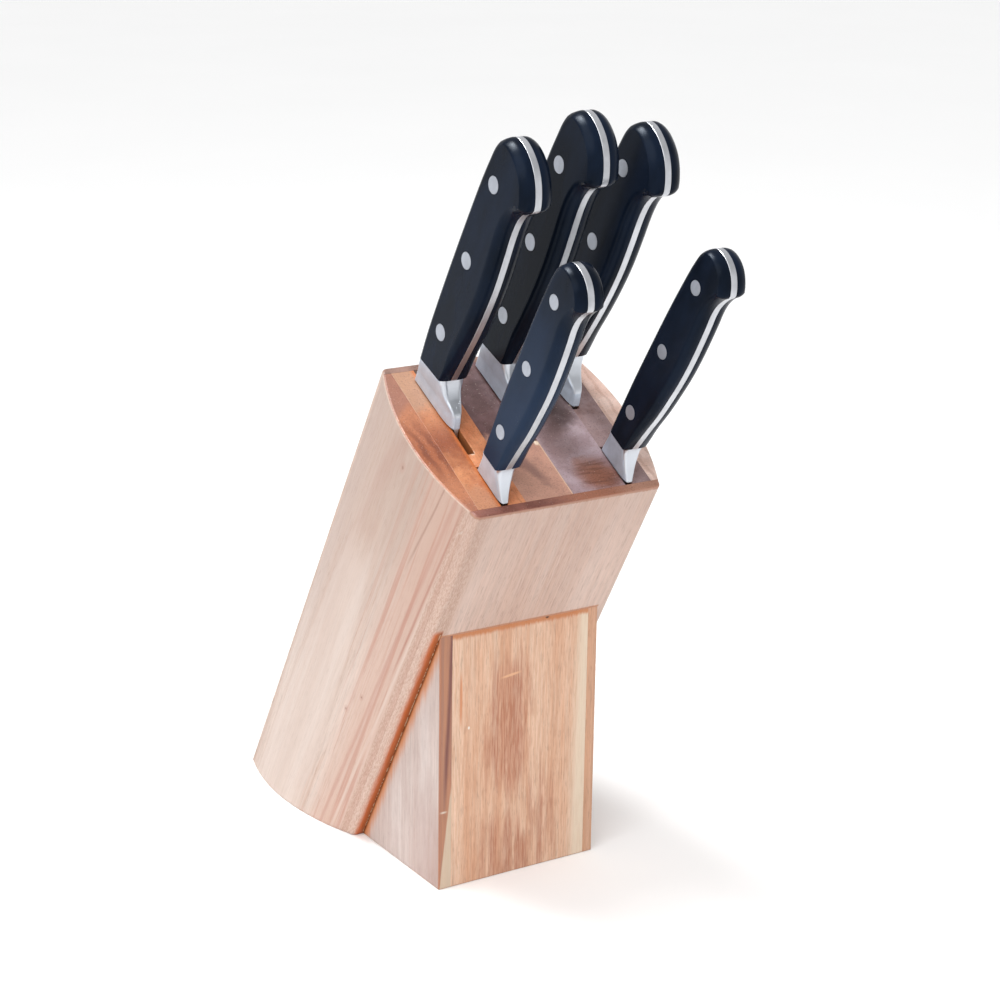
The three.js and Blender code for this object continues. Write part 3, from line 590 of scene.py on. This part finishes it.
BODY = ((230, 210, 198), (212, 184, 168))
DARK_CORE = ((150, 112, 92), (120, 84, 70))
FOOT_END = ((196, 150, 116), (160, 112, 82))
WOODS = {
    "body_front_board": wood(
        "body_wood_front", (230, 202, 188), (216, 182, 165), (146, 92, 78), (122, 72, 60), 1,
        0.69, 1.2, 0.8, paint=paint_front, paint_end=end_of_front),
    "body_rear_board": wood(
        "body_wood_rear", (222, 198, 184), (200, 170, 152), (160, 124, 110), (128, 96, 84), 2, 0.7),
    "body_left_board": wood(
        "body_wood_left", *BODY, (190, 130, 102), (150, 94, 70), 3,
        0.66, 0.9, 0.5, paint=paint_left, paint_end=end_of_left),
    # The right board's eased top edge gets the painted highlight.
    "body_right_board": wood(
        "body_wood_right", *BODY, (240, 212, 200), (216, 180, 164), 4,
        0.69, 0.9, 0.6, paint=arris_highlight, paint_end=end_of_right),
    # Strips 1 and 2 carry the slot stain and the painted slot shade.
    "core_strip_1": wood(
        "core_wood_1", (190, 136, 98), (166, 108, 70), (210, 142, 98), (172, 100, 62), 5,
        paint=slot_stain_and_shade, paint_end=end_of_strip_1),
    "core_strip_2": wood(
        "core_wood_2", (184, 130, 92), (160, 104, 66), (230, 154, 110), (200, 122, 80), 6,
        paint=slot_stain_and_shade, paint_end=end_of_strip_2),
    "core_strip_3": wood(
        "core_wood_3", (130, 86, 62), (98, 62, 50), (112, 80, 80), (84, 56, 54), 7,
        paint_end=end_of_strip_3),
    "core_strip_4": wood(
        "core_wood_4", *DARK_CORE, (180, 158, 164), (156, 130, 134), 8, paint_end=end_of_strip_4),
    "core_strip_5": wood(
        "core_wood_5", *DARK_CORE, (156, 130, 130), (128, 98, 94), 9, paint_end=chips),
    "foot_left_strip": wood(
        "foot_wood_left", (228, 211, 204), (216, 194, 185), *FOOT_END, 10,
        0.64, 0.4, 0.5, False, paint_foot_left),
    "foot_centre_board": wood(
        "foot_wood_centre", (236, 200, 174), (220, 170, 138), *FOOT_END, 11,
        0.74, 1.2, 1.2, False, paint_foot),
    "foot_right_strip": wood(
        "foot_wood_right", (216, 172, 144), (198, 150, 120), *FOOT_END, 12,
        0.82, 1, 1, False, paint_foot_right),
}


# ---------------- plastic and steel

def plastic():
    """Blue-black moulded handles, with a paler blue painted sheen low on the utility knife."""
    g = Graph("handle_plastic", Specular_IOR_Level=0.07, Specular_Tint=(0.74, 0.86, 1, 1))
    grain = g.noise((2.4, 2.4, 2.4), 21, 3, 0.6)
    cloud = g.noise((0.05, 0.05, 0.02), 22, 3, 0.6)
    dust = g.step(g.noise((1.1, 1.1, 1.1), 23, 1, 0.5), 0.74, 0.8)
    coat = Coat(g, g.mix(g.step(cloud, 0.35, 0.65), screen(10, 16, 26), screen(15, 24, 39)))
    # Painted sheen: a paler blue low on the utility knife, standing for reflected light.
    paler = g.step(g.x, 5, -28) * g.step(g.y, 62, 30) * g.step(g.z, 345, 275)
    coat.tint(paler * (cloud * 0.6 + 0.35), 36, 50, 72)
    coat.tint(dust * 0.15, 70, 76, 88)
    roughness = (cloud - 0.5) * 0.1 + (grain - 0.5) * 0.06 + 0.25
    return g.finish(coat.colour, roughness, g.bump(grain, 0.02, 0.5))


def steel(name, tint, rough, grain, seed, depth=0.012, marks=1.0, metallic=1.0):
    """Steel with fine scratches, long in the direction where grain is small."""
    g = Graph(name, Metallic=metallic)
    tint = screen(*tint)
    scratch = g.noise(grain, seed, 3, 0.65)
    cloud = g.noise((0.12, 0.12, 0.08), seed + 1, 3, 0.6)
    wear = g.step(g.noise((0.7, 0.7, 0.7), seed + 2, 4, 0.7), 0.6, 0.8)
    darker = tuple(c * (1 - 0.18 * marks) for c in tint[:3]) + (1,)
    colour = g.mix(g.step(cloud, 0.3, 0.7), tint, darker)
    colour = g.shade(colour, (scratch - 0.5) * (0.22 * marks) + 1)
    roughness = ((scratch - 0.5) * 0.16 + (cloud - 0.5) * 0.08 + wear * 0.06) * marks + rough
    return g.finish(colour, roughness, g.bump(scratch, depth, 0.7))


HANDLE = plastic()
BOLSTER = steel("bolster_satin_steel", (194, 204, 218), 0.44, (1.6, 1.6, 1.6), 31, metallic=0.4)
TONGUE = steel("bolster_polished_steel", (198, 202, 209), 0.3, (0.8, 0.8, 0.2), 34, 0.002, 0.25)
BLADE = steel("blade_ground_steel", (200, 202, 207), 0.29, (4, 0.12, 4), 37, 0.008, 0.4)
TANG = steel("tang_brushed_steel", (200, 202, 207), 0.33, (4, 0.9, 0.35), 40, 0.01)
RIVET = steel("rivet_brushed_steel", (170, 175, 185), 0.36, (1.6, 1.6, 0.3), 43, 0.008, metallic=0.6)
STEELS = [BOLSTER, TONGUE, BLADE, TANG]
ON_BOLSTER, ON_TONGUE, ON_BLADE, ON_TANG = range(4)


# ---------------- meshes

def linked(name, data):
    made = bpy.data.objects.new(name, data)
    bpy.context.scene.collection.objects.link(made)
    return made


def bare_object(name, bm, matrix, materials):
    """An object from a bmesh in millimetres."""
    bmesh.ops.scale(bm, vec=(MM, MM, MM), verts=bm.verts)
    bmesh.ops.recalc_face_normals(bm, faces=bm.faces)
    mesh = bpy.data.meshes.new(name)
    bm.to_mesh(mesh)
    bm.free()
    mesh.transform(matrix)
    for material in materials:
        mesh.materials.append(material)
    return linked(name, mesh)


def smooth(mesh):
    mesh.shade_smooth()
    mesh.set_sharp_from_angle(angle=SHARP)


def place(name, bm, matrix, materials, body, nodes):
    """A smooth piece that stands for CAD nodes on a body."""
    piece = bare_object(name, bm, matrix, materials)
    smooth(piece.data)
    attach(piece, body)
    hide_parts(*nodes)
    return piece


def weigh(piece):
    """Flat faces keep flat shading beside their eased edges."""
    weighted = piece.modifiers.new("flat faces", "WEIGHTED_NORMAL")
    weighted.keep_sharp = True


def ease(piece, width):
    bevel = piece.modifiers.new("eased edges", "BEVEL")
    bevel.width = width * MM
    bevel.segments = 3
    weigh(piece)
    return bevel


def loft(bm, rings, material=None):
    """A closed skin over rings of points, capped at both ends. Returns its two caps.
    material(r) is the material number of the faces after ring r."""
    made = [[bm.verts.new(p) for p in ring] for ring in rings]
    count = len(made[0])
    for r in range(len(made) - 1):
        for i in range(count):
            j = (i + 1) % count
            face = bm.faces.new((made[r][i], made[r][j], made[r + 1][j], made[r + 1][i]))
            if material:
                face.material_index = material(r)
    return bm.faces.new(reversed(made[0])), bm.faces.new(made[-1])


def mix(a, b, t):
    return a + (b - a) * t


def smoothstep(v, low, high):
    t = min(max((v - low) / (high - low), 0), 1)
    return t * t * (3 - 2 * t)


# ---------------- boards

SIDE_RADIUS = ((DEPTH / 2) ** 2 + BULGE ** 2) / (2 * BULGE)
SEAM_EDGE = 0.12
OUTER_EDGE = 0.9
FLAT_TURN = math.radians(30)
CORE_START = FRONT_BOARD + GLUE
CORE_END = DEPTH - REAR_BOARD - GLUE
ARC_STEPS = 44
CORNER_STEPS = 8


def half_width(w):
    return HALF_EDGE + math.sqrt(SIDE_RADIUS ** 2 - (w - DEPTH / 2) ** 2) - (SIDE_RADIUS - BULGE)


def board(name, outline, outer):
    """A leaning board: outline [(across, back)] run up the lean. outer(a, b) picks the top edges,
    between two outline points, that are eased more than a glued seam."""
    bm = bmesh.new()
    bottom = [(x, w, -w * math.tan(LEAN)) for x, w in outline]
    top = [(x, w, TOP) for x, w in outline]
    loft(bm, [bottom, top])
    weight = bm.edges.layers.float.new("bevel_weight_edge")
    bm.normal_update()
    for edge in bm.edges:
        if edge.calc_face_angle(0) < FLAT_TURN:
            continue
        a, b = (v.co for v in edge.verts)
        eased = min(a.z, b.z) > TOP - 1 and outer(a, b)
        edge[weight] = (OUTER_EDGE if eased else SEAM_EDGE) / OUTER_EDGE
    piece = place(f"{name}_shaped", bm, BLOCK, [WOODS[name]], "block", [name])
    bevel = ease(piece, OUTER_EDGE)
    bevel.limit_method = "WEIGHT"
    bevel.use_clamp_overlap = False


def corner(x, round_w, face_w):
    turns = [i / CORNER_STEPS * math.pi / 2 for i in range(CORNER_STEPS + 1)]
    return [(mix(x - CORNER, x, math.cos(a)), mix(round_w, face_w, math.sin(a))) for a in turns]


def face_board(name, inner, face):
    round_w = face + CORNER if face < inner else face - CORNER
    right = [(half_width(inner), inner), *corner(half_width(round_w), round_w, face)]
    left = [(-x, w) for x, w in reversed(right)]
    board(name, right + left,
          lambda a, b: max(abs(a.y - inner), abs(b.y - inner)) > 0.1)


def side_board(name, side):
    arc = [mix(CORE_START, CORE_END, i / ARC_STEPS) for i in range(ARC_STEPS + 1)]
    outline = [(CORE_HALF, CORE_START), *((half_width(w), w) for w in arc), (CORE_HALF, CORE_END)]
    board(name, [(side * x, w) for x, w in outline],
          lambda a, b: min(abs(a.x), abs(b.x)) > CORE_HALF + 0.5)


def core_strip(name, x0, x1, face=None, groove=None, slots=()):
    """A strip of the core, with knife slots cut from one of its faces to the depth of groove."""
    face = x1 if face is None else face
    plain = x1 if face == x0 else x0
    outline = [(plain, CORE_START)]
    w = CORE_START
    for first, last in slots:
        if first > w:
            outline += [(face, w), (face, first)]
        w = min(last, CORE_END)
        outline += [(groove, max(first, CORE_START)), (groove, w)]
    if w < CORE_END:
        outline += [(face, w), (face, CORE_END)]
    outline.append((plain, CORE_END))
    board(name, outline, lambda a, b: False)


face_board("body_front_board", FRONT_BOARD, 0)
face_board("body_rear_board", DEPTH - REAR_BOARD, DEPTH)
side_board("body_left_board", -1)
side_board("body_right_board", 1)
core_strip("core_strip_1", -CORE_HALF, LEFT_SLOTS)
core_strip("core_strip_2", LEFT_SLOTS, LEFT_SEAM, LEFT_SLOTS, LEFT_SLOTS + SLOT,
           [(0, SHORT_END), (LEFT_START, DEPTH)])
core_strip("core_strip_3", LEFT_SEAM, MIDDLE_SEAM, MIDDLE_SEAM, MIDDLE_SEAM - SLOT,
           [(MIDDLE_START, DEPTH)])
core_strip("core_strip_4", MIDDLE_SEAM, RIGHT_SLOTS)
core_strip("core_strip_5", RIGHT_SLOTS, CORE_HALF, RIGHT_SLOTS, RIGHT_SLOTS + SLOT,
           [(0, SHORT_END), (RIGHT_START, DEPTH)])


def foot_board(name, x0, x1):
    """One upright wedge of the foot."""
    back = -GLUE / math.cos(LEAN)
    profile = [(-FOOT_REACH, 0), (back, 0), (-FOOT_REACH, (FOOT_REACH + back) / math.tan(LEAN))]
    bm = bmesh.new()
    loft(bm, [[(x, y, z) for y, z in profile] for x in (x0, x1)])
    piece = place(f"{name}_shaped", bm, STANDING, [WOODS[name]], "block", [name])
    ease(piece, SEAM_EDGE)


foot_board("foot_left_strip", -FOOT_HALF, -FOOT_HALF + FOOT_LEFT)
foot_board("foot_centre_board", -FOOT_HALF + FOOT_LEFT, FOOT_HALF - FOOT_RIGHT)
foot_board("foot_right_strip", FOOT_HALF - FOOT_RIGHT, FOOT_HALF)


# ---------------- handles

CURVE_STEPS = 24
FLAT_SPACING = 6
NECK_LENGTH = 20
SPINE_BACK = 2.6
FLANK_START = TANG_HALF + 0.9
BUTT_START = TANG_HALF + 0.4
RIM = 0.12
BUTT_RIM = 0.2
CRISP = 0.22
PIN_SIDES = 56
PIN_EASED = 0.14
HOLE_EASED = 0.01


def curve_point(points, at):
    """A point of the centripetal curve through points, at from 0 to their number less one."""
    last = len(points) - 1
    i = min(int(at), last - 1)
    t = at - i
    p1, p2 = points[i], points[i + 1]
    p0 = points[i - 1] if i else p1 * 2 - p2
    p3 = points[i + 2] if i + 2 <= last else p2 * 2 - p1
    d0, d1, d2 = (max((b - a).length ** 0.5, 1e-4) for a, b in ((p0, p1), (p1, p2), (p2, p3)))
    m1 = ((p1 - p0) / d0 - (p2 - p0) / (d0 + d1) + (p2 - p1) / d1) * d1
    m2 = ((p2 - p1) / d1 - (p3 - p1) / (d1 + d2) + (p3 - p2) / d2) * d1
    return (p1 + m1 * t + (p2 * 3 - p1 * 3 - m1 * 2 - m2) * t ** 2
            + (p1 * 2 - p2 * 2 + m1 + m2) * t ** 3)


def even_outline(points, count):
    """That many points at equal distances along the curve."""
    total = (len(points) - 1) * CURVE_STEPS
    fine = [curve_point(points, k / CURVE_STEPS) for k in range(total + 1)]
    along = [0]
    for a, b in zip(fine, fine[1:]):
        along.append(along[-1] + (b - a).length)
    even = []
    k = 0
    for n in range(count):
        target = along[-1] * n / (count - 1)
        while k < len(fine) - 2 and along[k + 1] < target:
            k += 1
        t = (target - along[k]) / (along[k + 1] - along[k])
        even.append(fine[k].lerp(fine[k + 1], min(max(t, 0), 1)))
    return even


class Handle:
    """One handle's outline, [towards the spine, along the knife], and its thickness."""

    def __init__(self, family, longer, rivets_longer):
        self.f = family
        joint = family["joint"]

        def along(z, by):
            return z if z < joint else joint + (z - joint) * by

        self.hook = along(family["hook"], longer)
        self.rivets = [along(z, rivets_longer) for z in family["rivets"]]
        points = [Vector((y, along(z, longer))) for y, z in family["outline"]]
        self.outline = even_outline(points, OUTLINE_POINTS)
        self.joint_slope = ((points[0] - points[-1]).y) / ((points[0] - points[-1]).x)
        self.normals = []
        last = OUTLINE_POINTS - 1
        for i in range(OUTLINE_POINTS):
            run = self.outline[min(i + 1, last)] - self.outline[max(i - 1, 0)]
            self.normals.append(Vector((run.y, -run.x)).normalized())

    def half(self, z):
        along = (z - self.f["joint"]) / (self.hook - self.f["joint"])
        return mix(self.f["neck"], self.f["butt"], min(max(along, 0), 1))

    def easing(self, point, normal):
        """Set-back, start across the edge, and how much of the edge belongs to the butt."""
        f = self.f
        from_neck = smoothstep(point.y, f["joint"], f["joint"] + NECK_LENGTH)
        flank = (mix(f["flank_neck"], f["flank"], from_neck), FLANK_START)
        spine = (SPINE_BACK, self.half(point.y) - SPINE_BACK)
        butt = (f["set_back"], BUTT_START)
        on_spine = smoothstep(normal.x, -0.3, 0.3)
        on_butt = smoothstep(normal.y, 0.25, 0.65)
        if point.y > self.hook and normal.x < 0:
            on_butt = 1
        side = [mix(a, b, on_spine) for a, b in zip(flank, spine)]
        back, start = (mix(a, b, on_butt) for a, b in zip(side, butt))
        return back, start, on_butt

    def inset(self, i, back):
        """An outline point drawn in by back, along the joint at its ends."""
        p, normal = self.outline[i], self.normals[i]
        if i in (0, OUTLINE_POINTS - 1):
            y = p.x - math.copysign(back, p.x)
            return Vector((y, p.y + (y - p.x) * self.joint_slope))
        return p - normal * back


def scale_mesh(handle, side):
    """One handle scale: rings from the tang outwards over its eased edge to the flat side."""
    bm = bmesh.new()
    rings = []
    inner = TANG_HALF + SCALE_GAP
    for x, back in ((inner, 0.1), (inner + RIM, 0)):
        rings.append([(side * x, *handle.inset(i, back)) for i in range(OUTLINE_POINTS)])
    for k in range(EDGE_STEPS + 1):
        turn = k / EDGE_STEPS * math.pi / 2
        ring = []
        for i, (p, normal) in enumerate(zip(handle.outline, handle.normals)):
            back, start, on_butt = handle.easing(p, normal)
            across = mix(math.sin(turn), k / EDGE_STEPS, on_butt)
            soft = 1 - math.sqrt(max(1 - across ** 2, 0))
            share = mix(soft, across ** 2.2, on_butt)
            x = mix(start, handle.half(p.y) - CRISP * on_butt, across)
            ring.append((side * x, *handle.inset(i, back * share)))
        rings.append(ring)
    ring = []
    for i, (p, normal) in enumerate(zip(handle.outline, handle.normals)):
        back, _, on_butt = handle.easing(p, normal)
        ring.append((side * handle.half(p.y), *handle.inset(i, back + RIM + BUTT_RIM * on_butt)))
    rings.append(ring)
    _, flat = loft(bm, rings)
    z = handle.f["joint"] + 3
    while z < handle.outline[OUTLINE_POINTS // 2].y:
        cap = [flat, *flat.edges, *flat.verts]
        cut = bmesh.ops.bisect_plane(bm, geom=cap, plane_co=(0, 0, z), plane_no=(0, 0, 1))
        above = [face for face in cut["geom"] if isinstance(face, bmesh.types.BMFace)]
        flat = max(above, key=lambda face: face.calc_center_median().z)
        z += FLAT_SPACING
    return bm


def pin(bm, radius, half, z, eased):
    """A cross pin with slightly eased ends."""
    ends = [(half - eased, radius), (half - eased * 0.3, radius - eased * 0.3), (half, radius - eased)]
    stations = [(-x, r) for x, r in reversed(ends)] + ends
    turns = [2 * math.pi * i / PIN_SIDES for i in range(PIN_SIDES)]
    rings = [[(x, r * math.cos(a), z + r * math.sin(a)) for a in turns] for x, r in stations]
    loft(bm, rings)


def cutter(name, handle, matrix):
    """The rivet holes, as a hidden tool for the boolean cuts."""
    bm = bmesh.new()
    for z in handle.rivets:
        pin(bm, handle.f["rivet"] + RIVET_GAP, handle.f["butt"] + 2, z, HOLE_EASED)
    return bare_object(name, bm, matrix, [])


def combine(piece, tool, operation):
    """Cuts the tool from the piece, or adds it, for good."""
    step = piece.modifiers.new("shape", "BOOLEAN")
    step.operation = operation
    step.solver = "EXACT"
    step.object = tool
    bpy.context.view_layer.update()
    shaped = bpy.data.meshes.new_from_object(piece.evaluated_get(bpy.context.evaluated_depsgraph_get()))
    piece.modifiers.remove(step)
    old = piece.data
    piece.data = shaped
    shaped.name = old.name
    bpy.data.meshes.remove(old)
    smooth(shaped)


# ---------------- bolsters and blades

def filled_in(stations, spacing):
    """Stations with more between them, on smooth curves that don't overshoot."""
    count = len(stations[0])
    slopes = []
    for c in range(1, count):
        run = [(b[c] - a[c]) / (b[0] - a[0]) for a, b in zip(stations, stations[1:])]
        middle = [0 if p * q <= 0 else 2 * p * q / (p + q) for p, q in zip(run, run[1:])]
        slopes.append([run[0], *middle, run[-1]])
    made = []
    for i, (a, b) in enumerate(zip(stations, stations[1:])):
        gap = b[0] - a[0]
        steps = max(1, math.ceil(abs(gap) / spacing))
        for k in range(steps):
            t = k / steps
            row = [a[0] + gap * t]
            for c in range(1, count):
                m0, m1 = slopes[c - 1][i] * gap, slopes[c - 1][i + 1] * gap
                row.append((2 * t ** 3 - 3 * t ** 2 + 1) * a[c] + (t ** 3 - 2 * t ** 2 + t) * m0
                           + (3 * t ** 2 - 2 * t ** 3) * b[c] + (t ** 3 - t ** 2) * m1)
            made.append(tuple(row))
    return [*made, tuple(stations[-1])]


ROUND_STEPS = 4
FRONT_STEPS = 8
RIDGE_SHARE = 0.62
RIDGE_THINNING = 0.45
SPINE_ROUNDING = 0.25
HEEL_HALF = 0.9
EDGE_HALF = 0.12
SHOULDER_END = 0.9
ROOT_SHARE = 0.7
ROOT_DEPTH = 2
BLADE_SPACING = 3
SCALLOP_SPACING = 0.8
BOLSTER_SPACING = 0.5


def half_section(spine, ridge, front, half_spine, half_ridge, half_front, rounding):
    """Half a section from the spine round to the front or the edge: [along y, across x]."""
    square = max(half_spine - rounding, half_spine * 0.55)
    points = []
    for k in range(ROUND_STEPS + 1):
        turn = k / ROUND_STEPS * math.pi / 2
        points.append((spine - rounding * (1 - math.cos(turn)), mix(square, half_spine, math.sin(turn))))
    points.append((mix(spine - rounding, ridge, 0.5), mix(half_spine, half_ridge, 0.5)))
    for k in range(FRONT_STEPS + 1):
        turn = k / FRONT_STEPS * math.pi / 2
        points.append((mix(ridge, front, math.sin(turn)), mix(half_ridge, half_front, 1 - math.cos(turn))))
    return points


def section_ring(z, rise, *section):
    half = half_section(*section)
    right = [(x, y, z + rise * y) for y, x in half]
    left = [(-x, y, z + rise * y) for y, x in reversed(half)]
    return right + left


def blade_section(spine, edge, half, edge_half):
    ridge = mix(spine, edge, RIDGE_SHARE)
    half_ridge = mix(half, edge_half, RIDGE_THINNING)
    return spine, ridge, edge, half, half_ridge, edge_half, SPINE_ROUNDING


def blade_station(z, set_back, spine, ridge, edge, *halves):
    shift = set_back * z
    return (z, 0, spine + shift, ridge + shift, edge + shift, *halves)


def blade_stations(blade, set_back):
    """Stations down the blade, from its square heel to the point, with any scallops in its edge."""
    made = []
    for z, spine, edge, half in blade["heel"]:
        made.append(blade_station(z, set_back, *blade_section(spine, edge, half, HEEL_HALF)))
    spacing = SCALLOP_SPACING if "scallop" in blade else BLADE_SPACING
    for z, spine, edge, half in filled_in(blade["edge"], spacing):
        if "scallop" in blade:
            pitch, depth, start, end = blade["scallop"]
            if end <= z <= start:
                edge += depth * abs(math.sin((start - z) / pitch * math.pi))
        made.append(blade_station(z, set_back, *blade_section(spine, edge, half, EDGE_HALF)))
    return made


def forging(handle, blade, lift, lean, cant):
    """Bolster and blade in one: satin flats, a polished guard, a ground blade."""
    level = -math.tan(math.radians(lean))
    bolster = [(z, rise, *section)
               for z, *section, rise in filled_in(handle.f["bolster"], BOLSTER_SPACING)]
    shoulder = handle.f["shoulder"]
    stations = bolster + [
        (SHOULDER_END - lift, level, *shoulder),
        (SHOULDER_END / 2 - lift, level, blade["heel"][0][1], *shoulder[1:3], 1.3, 1.1, 1, 0.3),
    ]
    stations += blade_stations(blade, math.tan(math.radians(cant)))
    rings = [section_ring(*station) for station in stations]

    bm = bmesh.new()
    loft(bm, rings, lambda ring: ON_BLADE if ring >= len(bolster) else ON_BOLSTER)
    bm.normal_update()
    for face in bm.faces:
        middle = face.calc_center_median()
        # Below the family's tip height the tongue's front keeps the satin steel: painted shade where the
        # tongue goes down into the slot.
        on_front = middle.y < 0 and abs(face.normal.y) > 0.5 and middle.z > handle.f["tip"]
        if on_front and face.material_index == ON_BOLSTER:
            face.material_index = ON_TONGUE
    return bm


def tang_mesh(handle):
    """The flat plate between the scales, with its root in the bolster."""
    root_z = handle.outline[0].y - ROOT_DEPTH
    root = [Vector((handle.outline[i].x * ROOT_SHARE, root_z)) for i in (-1, 0)]
    bm = bmesh.new()
    rings = []
    for x, back in ((-TANG_HALF, 0.08), (-TANG_HALF + 0.1, 0), (TANG_HALF - 0.1, 0), (TANG_HALF, 0.08)):
        plate = [handle.inset(i, back) for i in range(OUTLINE_POINTS)] + root
        rings.append([(x, p.x, p.y) for p in plate])
    loft(bm, rings)
    for face in bm.faces:
        face.material_index = ON_TANG
    return bm


def discard(tool):
    mesh = tool.data
    bpy.data.objects.remove(tool)
    bpy.data.meshes.remove(mesh)


for name, family, across, back, lift, lean, tilt, cant, longer, rivets_longer in KNIVES:
    handle = Handle(family, longer, rivets_longer)
    body = f"{name}_knife"
    matrix = (BLOCK @ Matrix.Translation((across * MM, back * MM, (TOP + lift) * MM))
              @ Matrix.Rotation(math.radians(lean), 4, "X") @ Matrix.Rotation(math.radians(tilt), 4, "Y"))
    holes = cutter(f"{name}_holes", handle, matrix)
    tang = bare_object(f"{name}_tang_tool", tang_mesh(handle), matrix, STEELS)
    steel_piece = place(f"{name}_forged_blade", forging(handle, BLADES[name], lift, lean, cant), matrix,
                        STEELS, body, [f"{name}_blade"])
    combine(steel_piece, tang, "UNION")
    combine(steel_piece, holes, "DIFFERENCE")
    weigh(steel_piece)
    for word, side in (("left", -1), ("right", 1)):
        scale = place(f"{name}_handle_{word}", scale_mesh(handle, side), matrix, [HANDLE], body,
                      [f"{name}_scale_{word}"])
        combine(scale, holes, "DIFFERENCE")
        weigh(scale)
    for i, z in enumerate(handle.rivets):
        bm = bmesh.new()
        pin(bm, family["rivet"], handle.half(z) + RIVET_PROUD, z, PIN_EASED)
        rivet = place(f"{name}_pin_{i + 1}", bm, matrix, [RIVET], body,
                      [f"{name}_rivet_{i + 1}"])
        weigh(rivet)
    discard(tang)
    discard(holes)


# ---------------- floor, light and camera, in metres

FLOOR_HALF = 20
FLOOR_GAP = 0.0002
AIM = Vector((0, 0, 0.2))


def floor():
    bm = bmesh.new()
    bmesh.ops.create_grid(bm, x_segments=1, y_segments=1, size=FLOOR_HALF)
    mesh = bpy.data.meshes.new("studio_floor")
    bm.to_mesh(mesh)
    bm.free()
    g = Graph("studio_floor_paper", Matrix(), Specular_IOR_Level=0.2)
    tone = g.noise((0.004, 0.004, 0.004), 91, 2, 0.5)
    fine = g.noise((0.8, 0.8, 0.8), 92, 2, 0.5)
    colour = g.mix(tone, (0.93, 0.93, 0.93, 1), (0.96, 0.96, 0.96, 1))
    mesh.materials.append(g.finish(colour, (fine - 0.5) * 0.1 + 0.75, g.bump(fine, 0.01, 0.3)))
    made = linked("studio_floor", mesh)
    made.location.z = -FLOOR_GAP


def softbox(name, spot, size, power, only_gloss=False):
    light = bpy.data.lights.new(name, "AREA")
    light.shape = "RECTANGLE"
    light.size, light.size_y = size
    light.energy = power
    made = linked(name, light)
    made.location = spot
    made.rotation_euler = (Vector(spot) - AIM).to_track_quat("Z", "Y").to_euler()
    made.visible_diffuse = not only_gloss


floor()
softbox("top_box", (-0.26, 0.06, 1.5), (0.3, 0.3), 12)
softbox("handle_sheen", (-0.3, 0.06, 1.52), (0.6, 0.6), 26, True)
softbox("left_box", (-1.4, -0.5, 0.7), (0.5, 0.9), 3)
sun = bpy.data.lights.new("broad_key", "SUN")
sun.energy = 1.4
sun.angle = math.radians(50)
key = linked("broad_key", sun)
key.rotation_euler = Vector((-0.5, -0.54, 0.68)).to_track_quat("Z", "Y").to_euler()

# The sky is white at the horizon, so no edge shows behind the floor, and dimmer overhead.
world = bpy.data.worlds.new("studio")
world.use_nodes = True
sky = world.node_tree.nodes["Background"]
direction = world.node_tree.nodes.new("ShaderNodeTexCoord")
parts = world.node_tree.nodes.new("ShaderNodeSeparateXYZ")
world.node_tree.links.new(direction.outputs["Generated"], parts.inputs[0])
dimmed = world.node_tree.nodes.new("ShaderNodeMapRange")
dimmed.interpolation_type = "SMOOTHSTEP"
for socket, value in (("From Min", 0.15), ("From Max", 0.5), ("To Min", 1.0), ("To Max", 0.64)):
    dimmed.inputs[socket].default_value = value
world.node_tree.links.new(parts.outputs["Z"], dimmed.inputs["Value"])
world.node_tree.links.new(dimmed.outputs["Result"], sky.inputs["Strength"])
sky.inputs["Color"].default_value = (1, 1, 1, 1)
bpy.context.scene.world = world
bpy.context.scene.view_settings.view_transform = "Standard"

AZIMUTH = math.radians(-32.398)
ELEVATION = math.radians(17.061)
ROLL = math.radians(0.826)
DISTANCE, SIDEWAYS, UPWARDS = 1.186754, 0.030497, 0.155728
back = Vector((math.sin(AZIMUTH) * math.cos(ELEVATION), -math.cos(AZIMUTH) * math.cos(ELEVATION),
               math.sin(ELEVATION)))
level_right = Vector((math.cos(AZIMUTH), math.sin(AZIMUTH), 0))
level_up = back.cross(level_right)
right = level_right * math.cos(ROLL) + level_up * math.sin(ROLL)
up = level_up * math.cos(ROLL) - level_right * math.sin(ROLL)
spot = back * DISTANCE + right * SIDEWAYS + up * UPWARDS + Vector((0, -SHIFT * MM, 0))
lens = bpy.data.cameras.new("photo_view")
lens.sensor_width = 36
lens.lens = 86.25
lens.clip_start = 0.05
camera = linked("photo_view", lens)
turn = Matrix((right, up, back)).transposed()
camera.matrix_world = Matrix.Translation(spot) @ turn.to_4x4()
bpy.context.scene.camera = camera
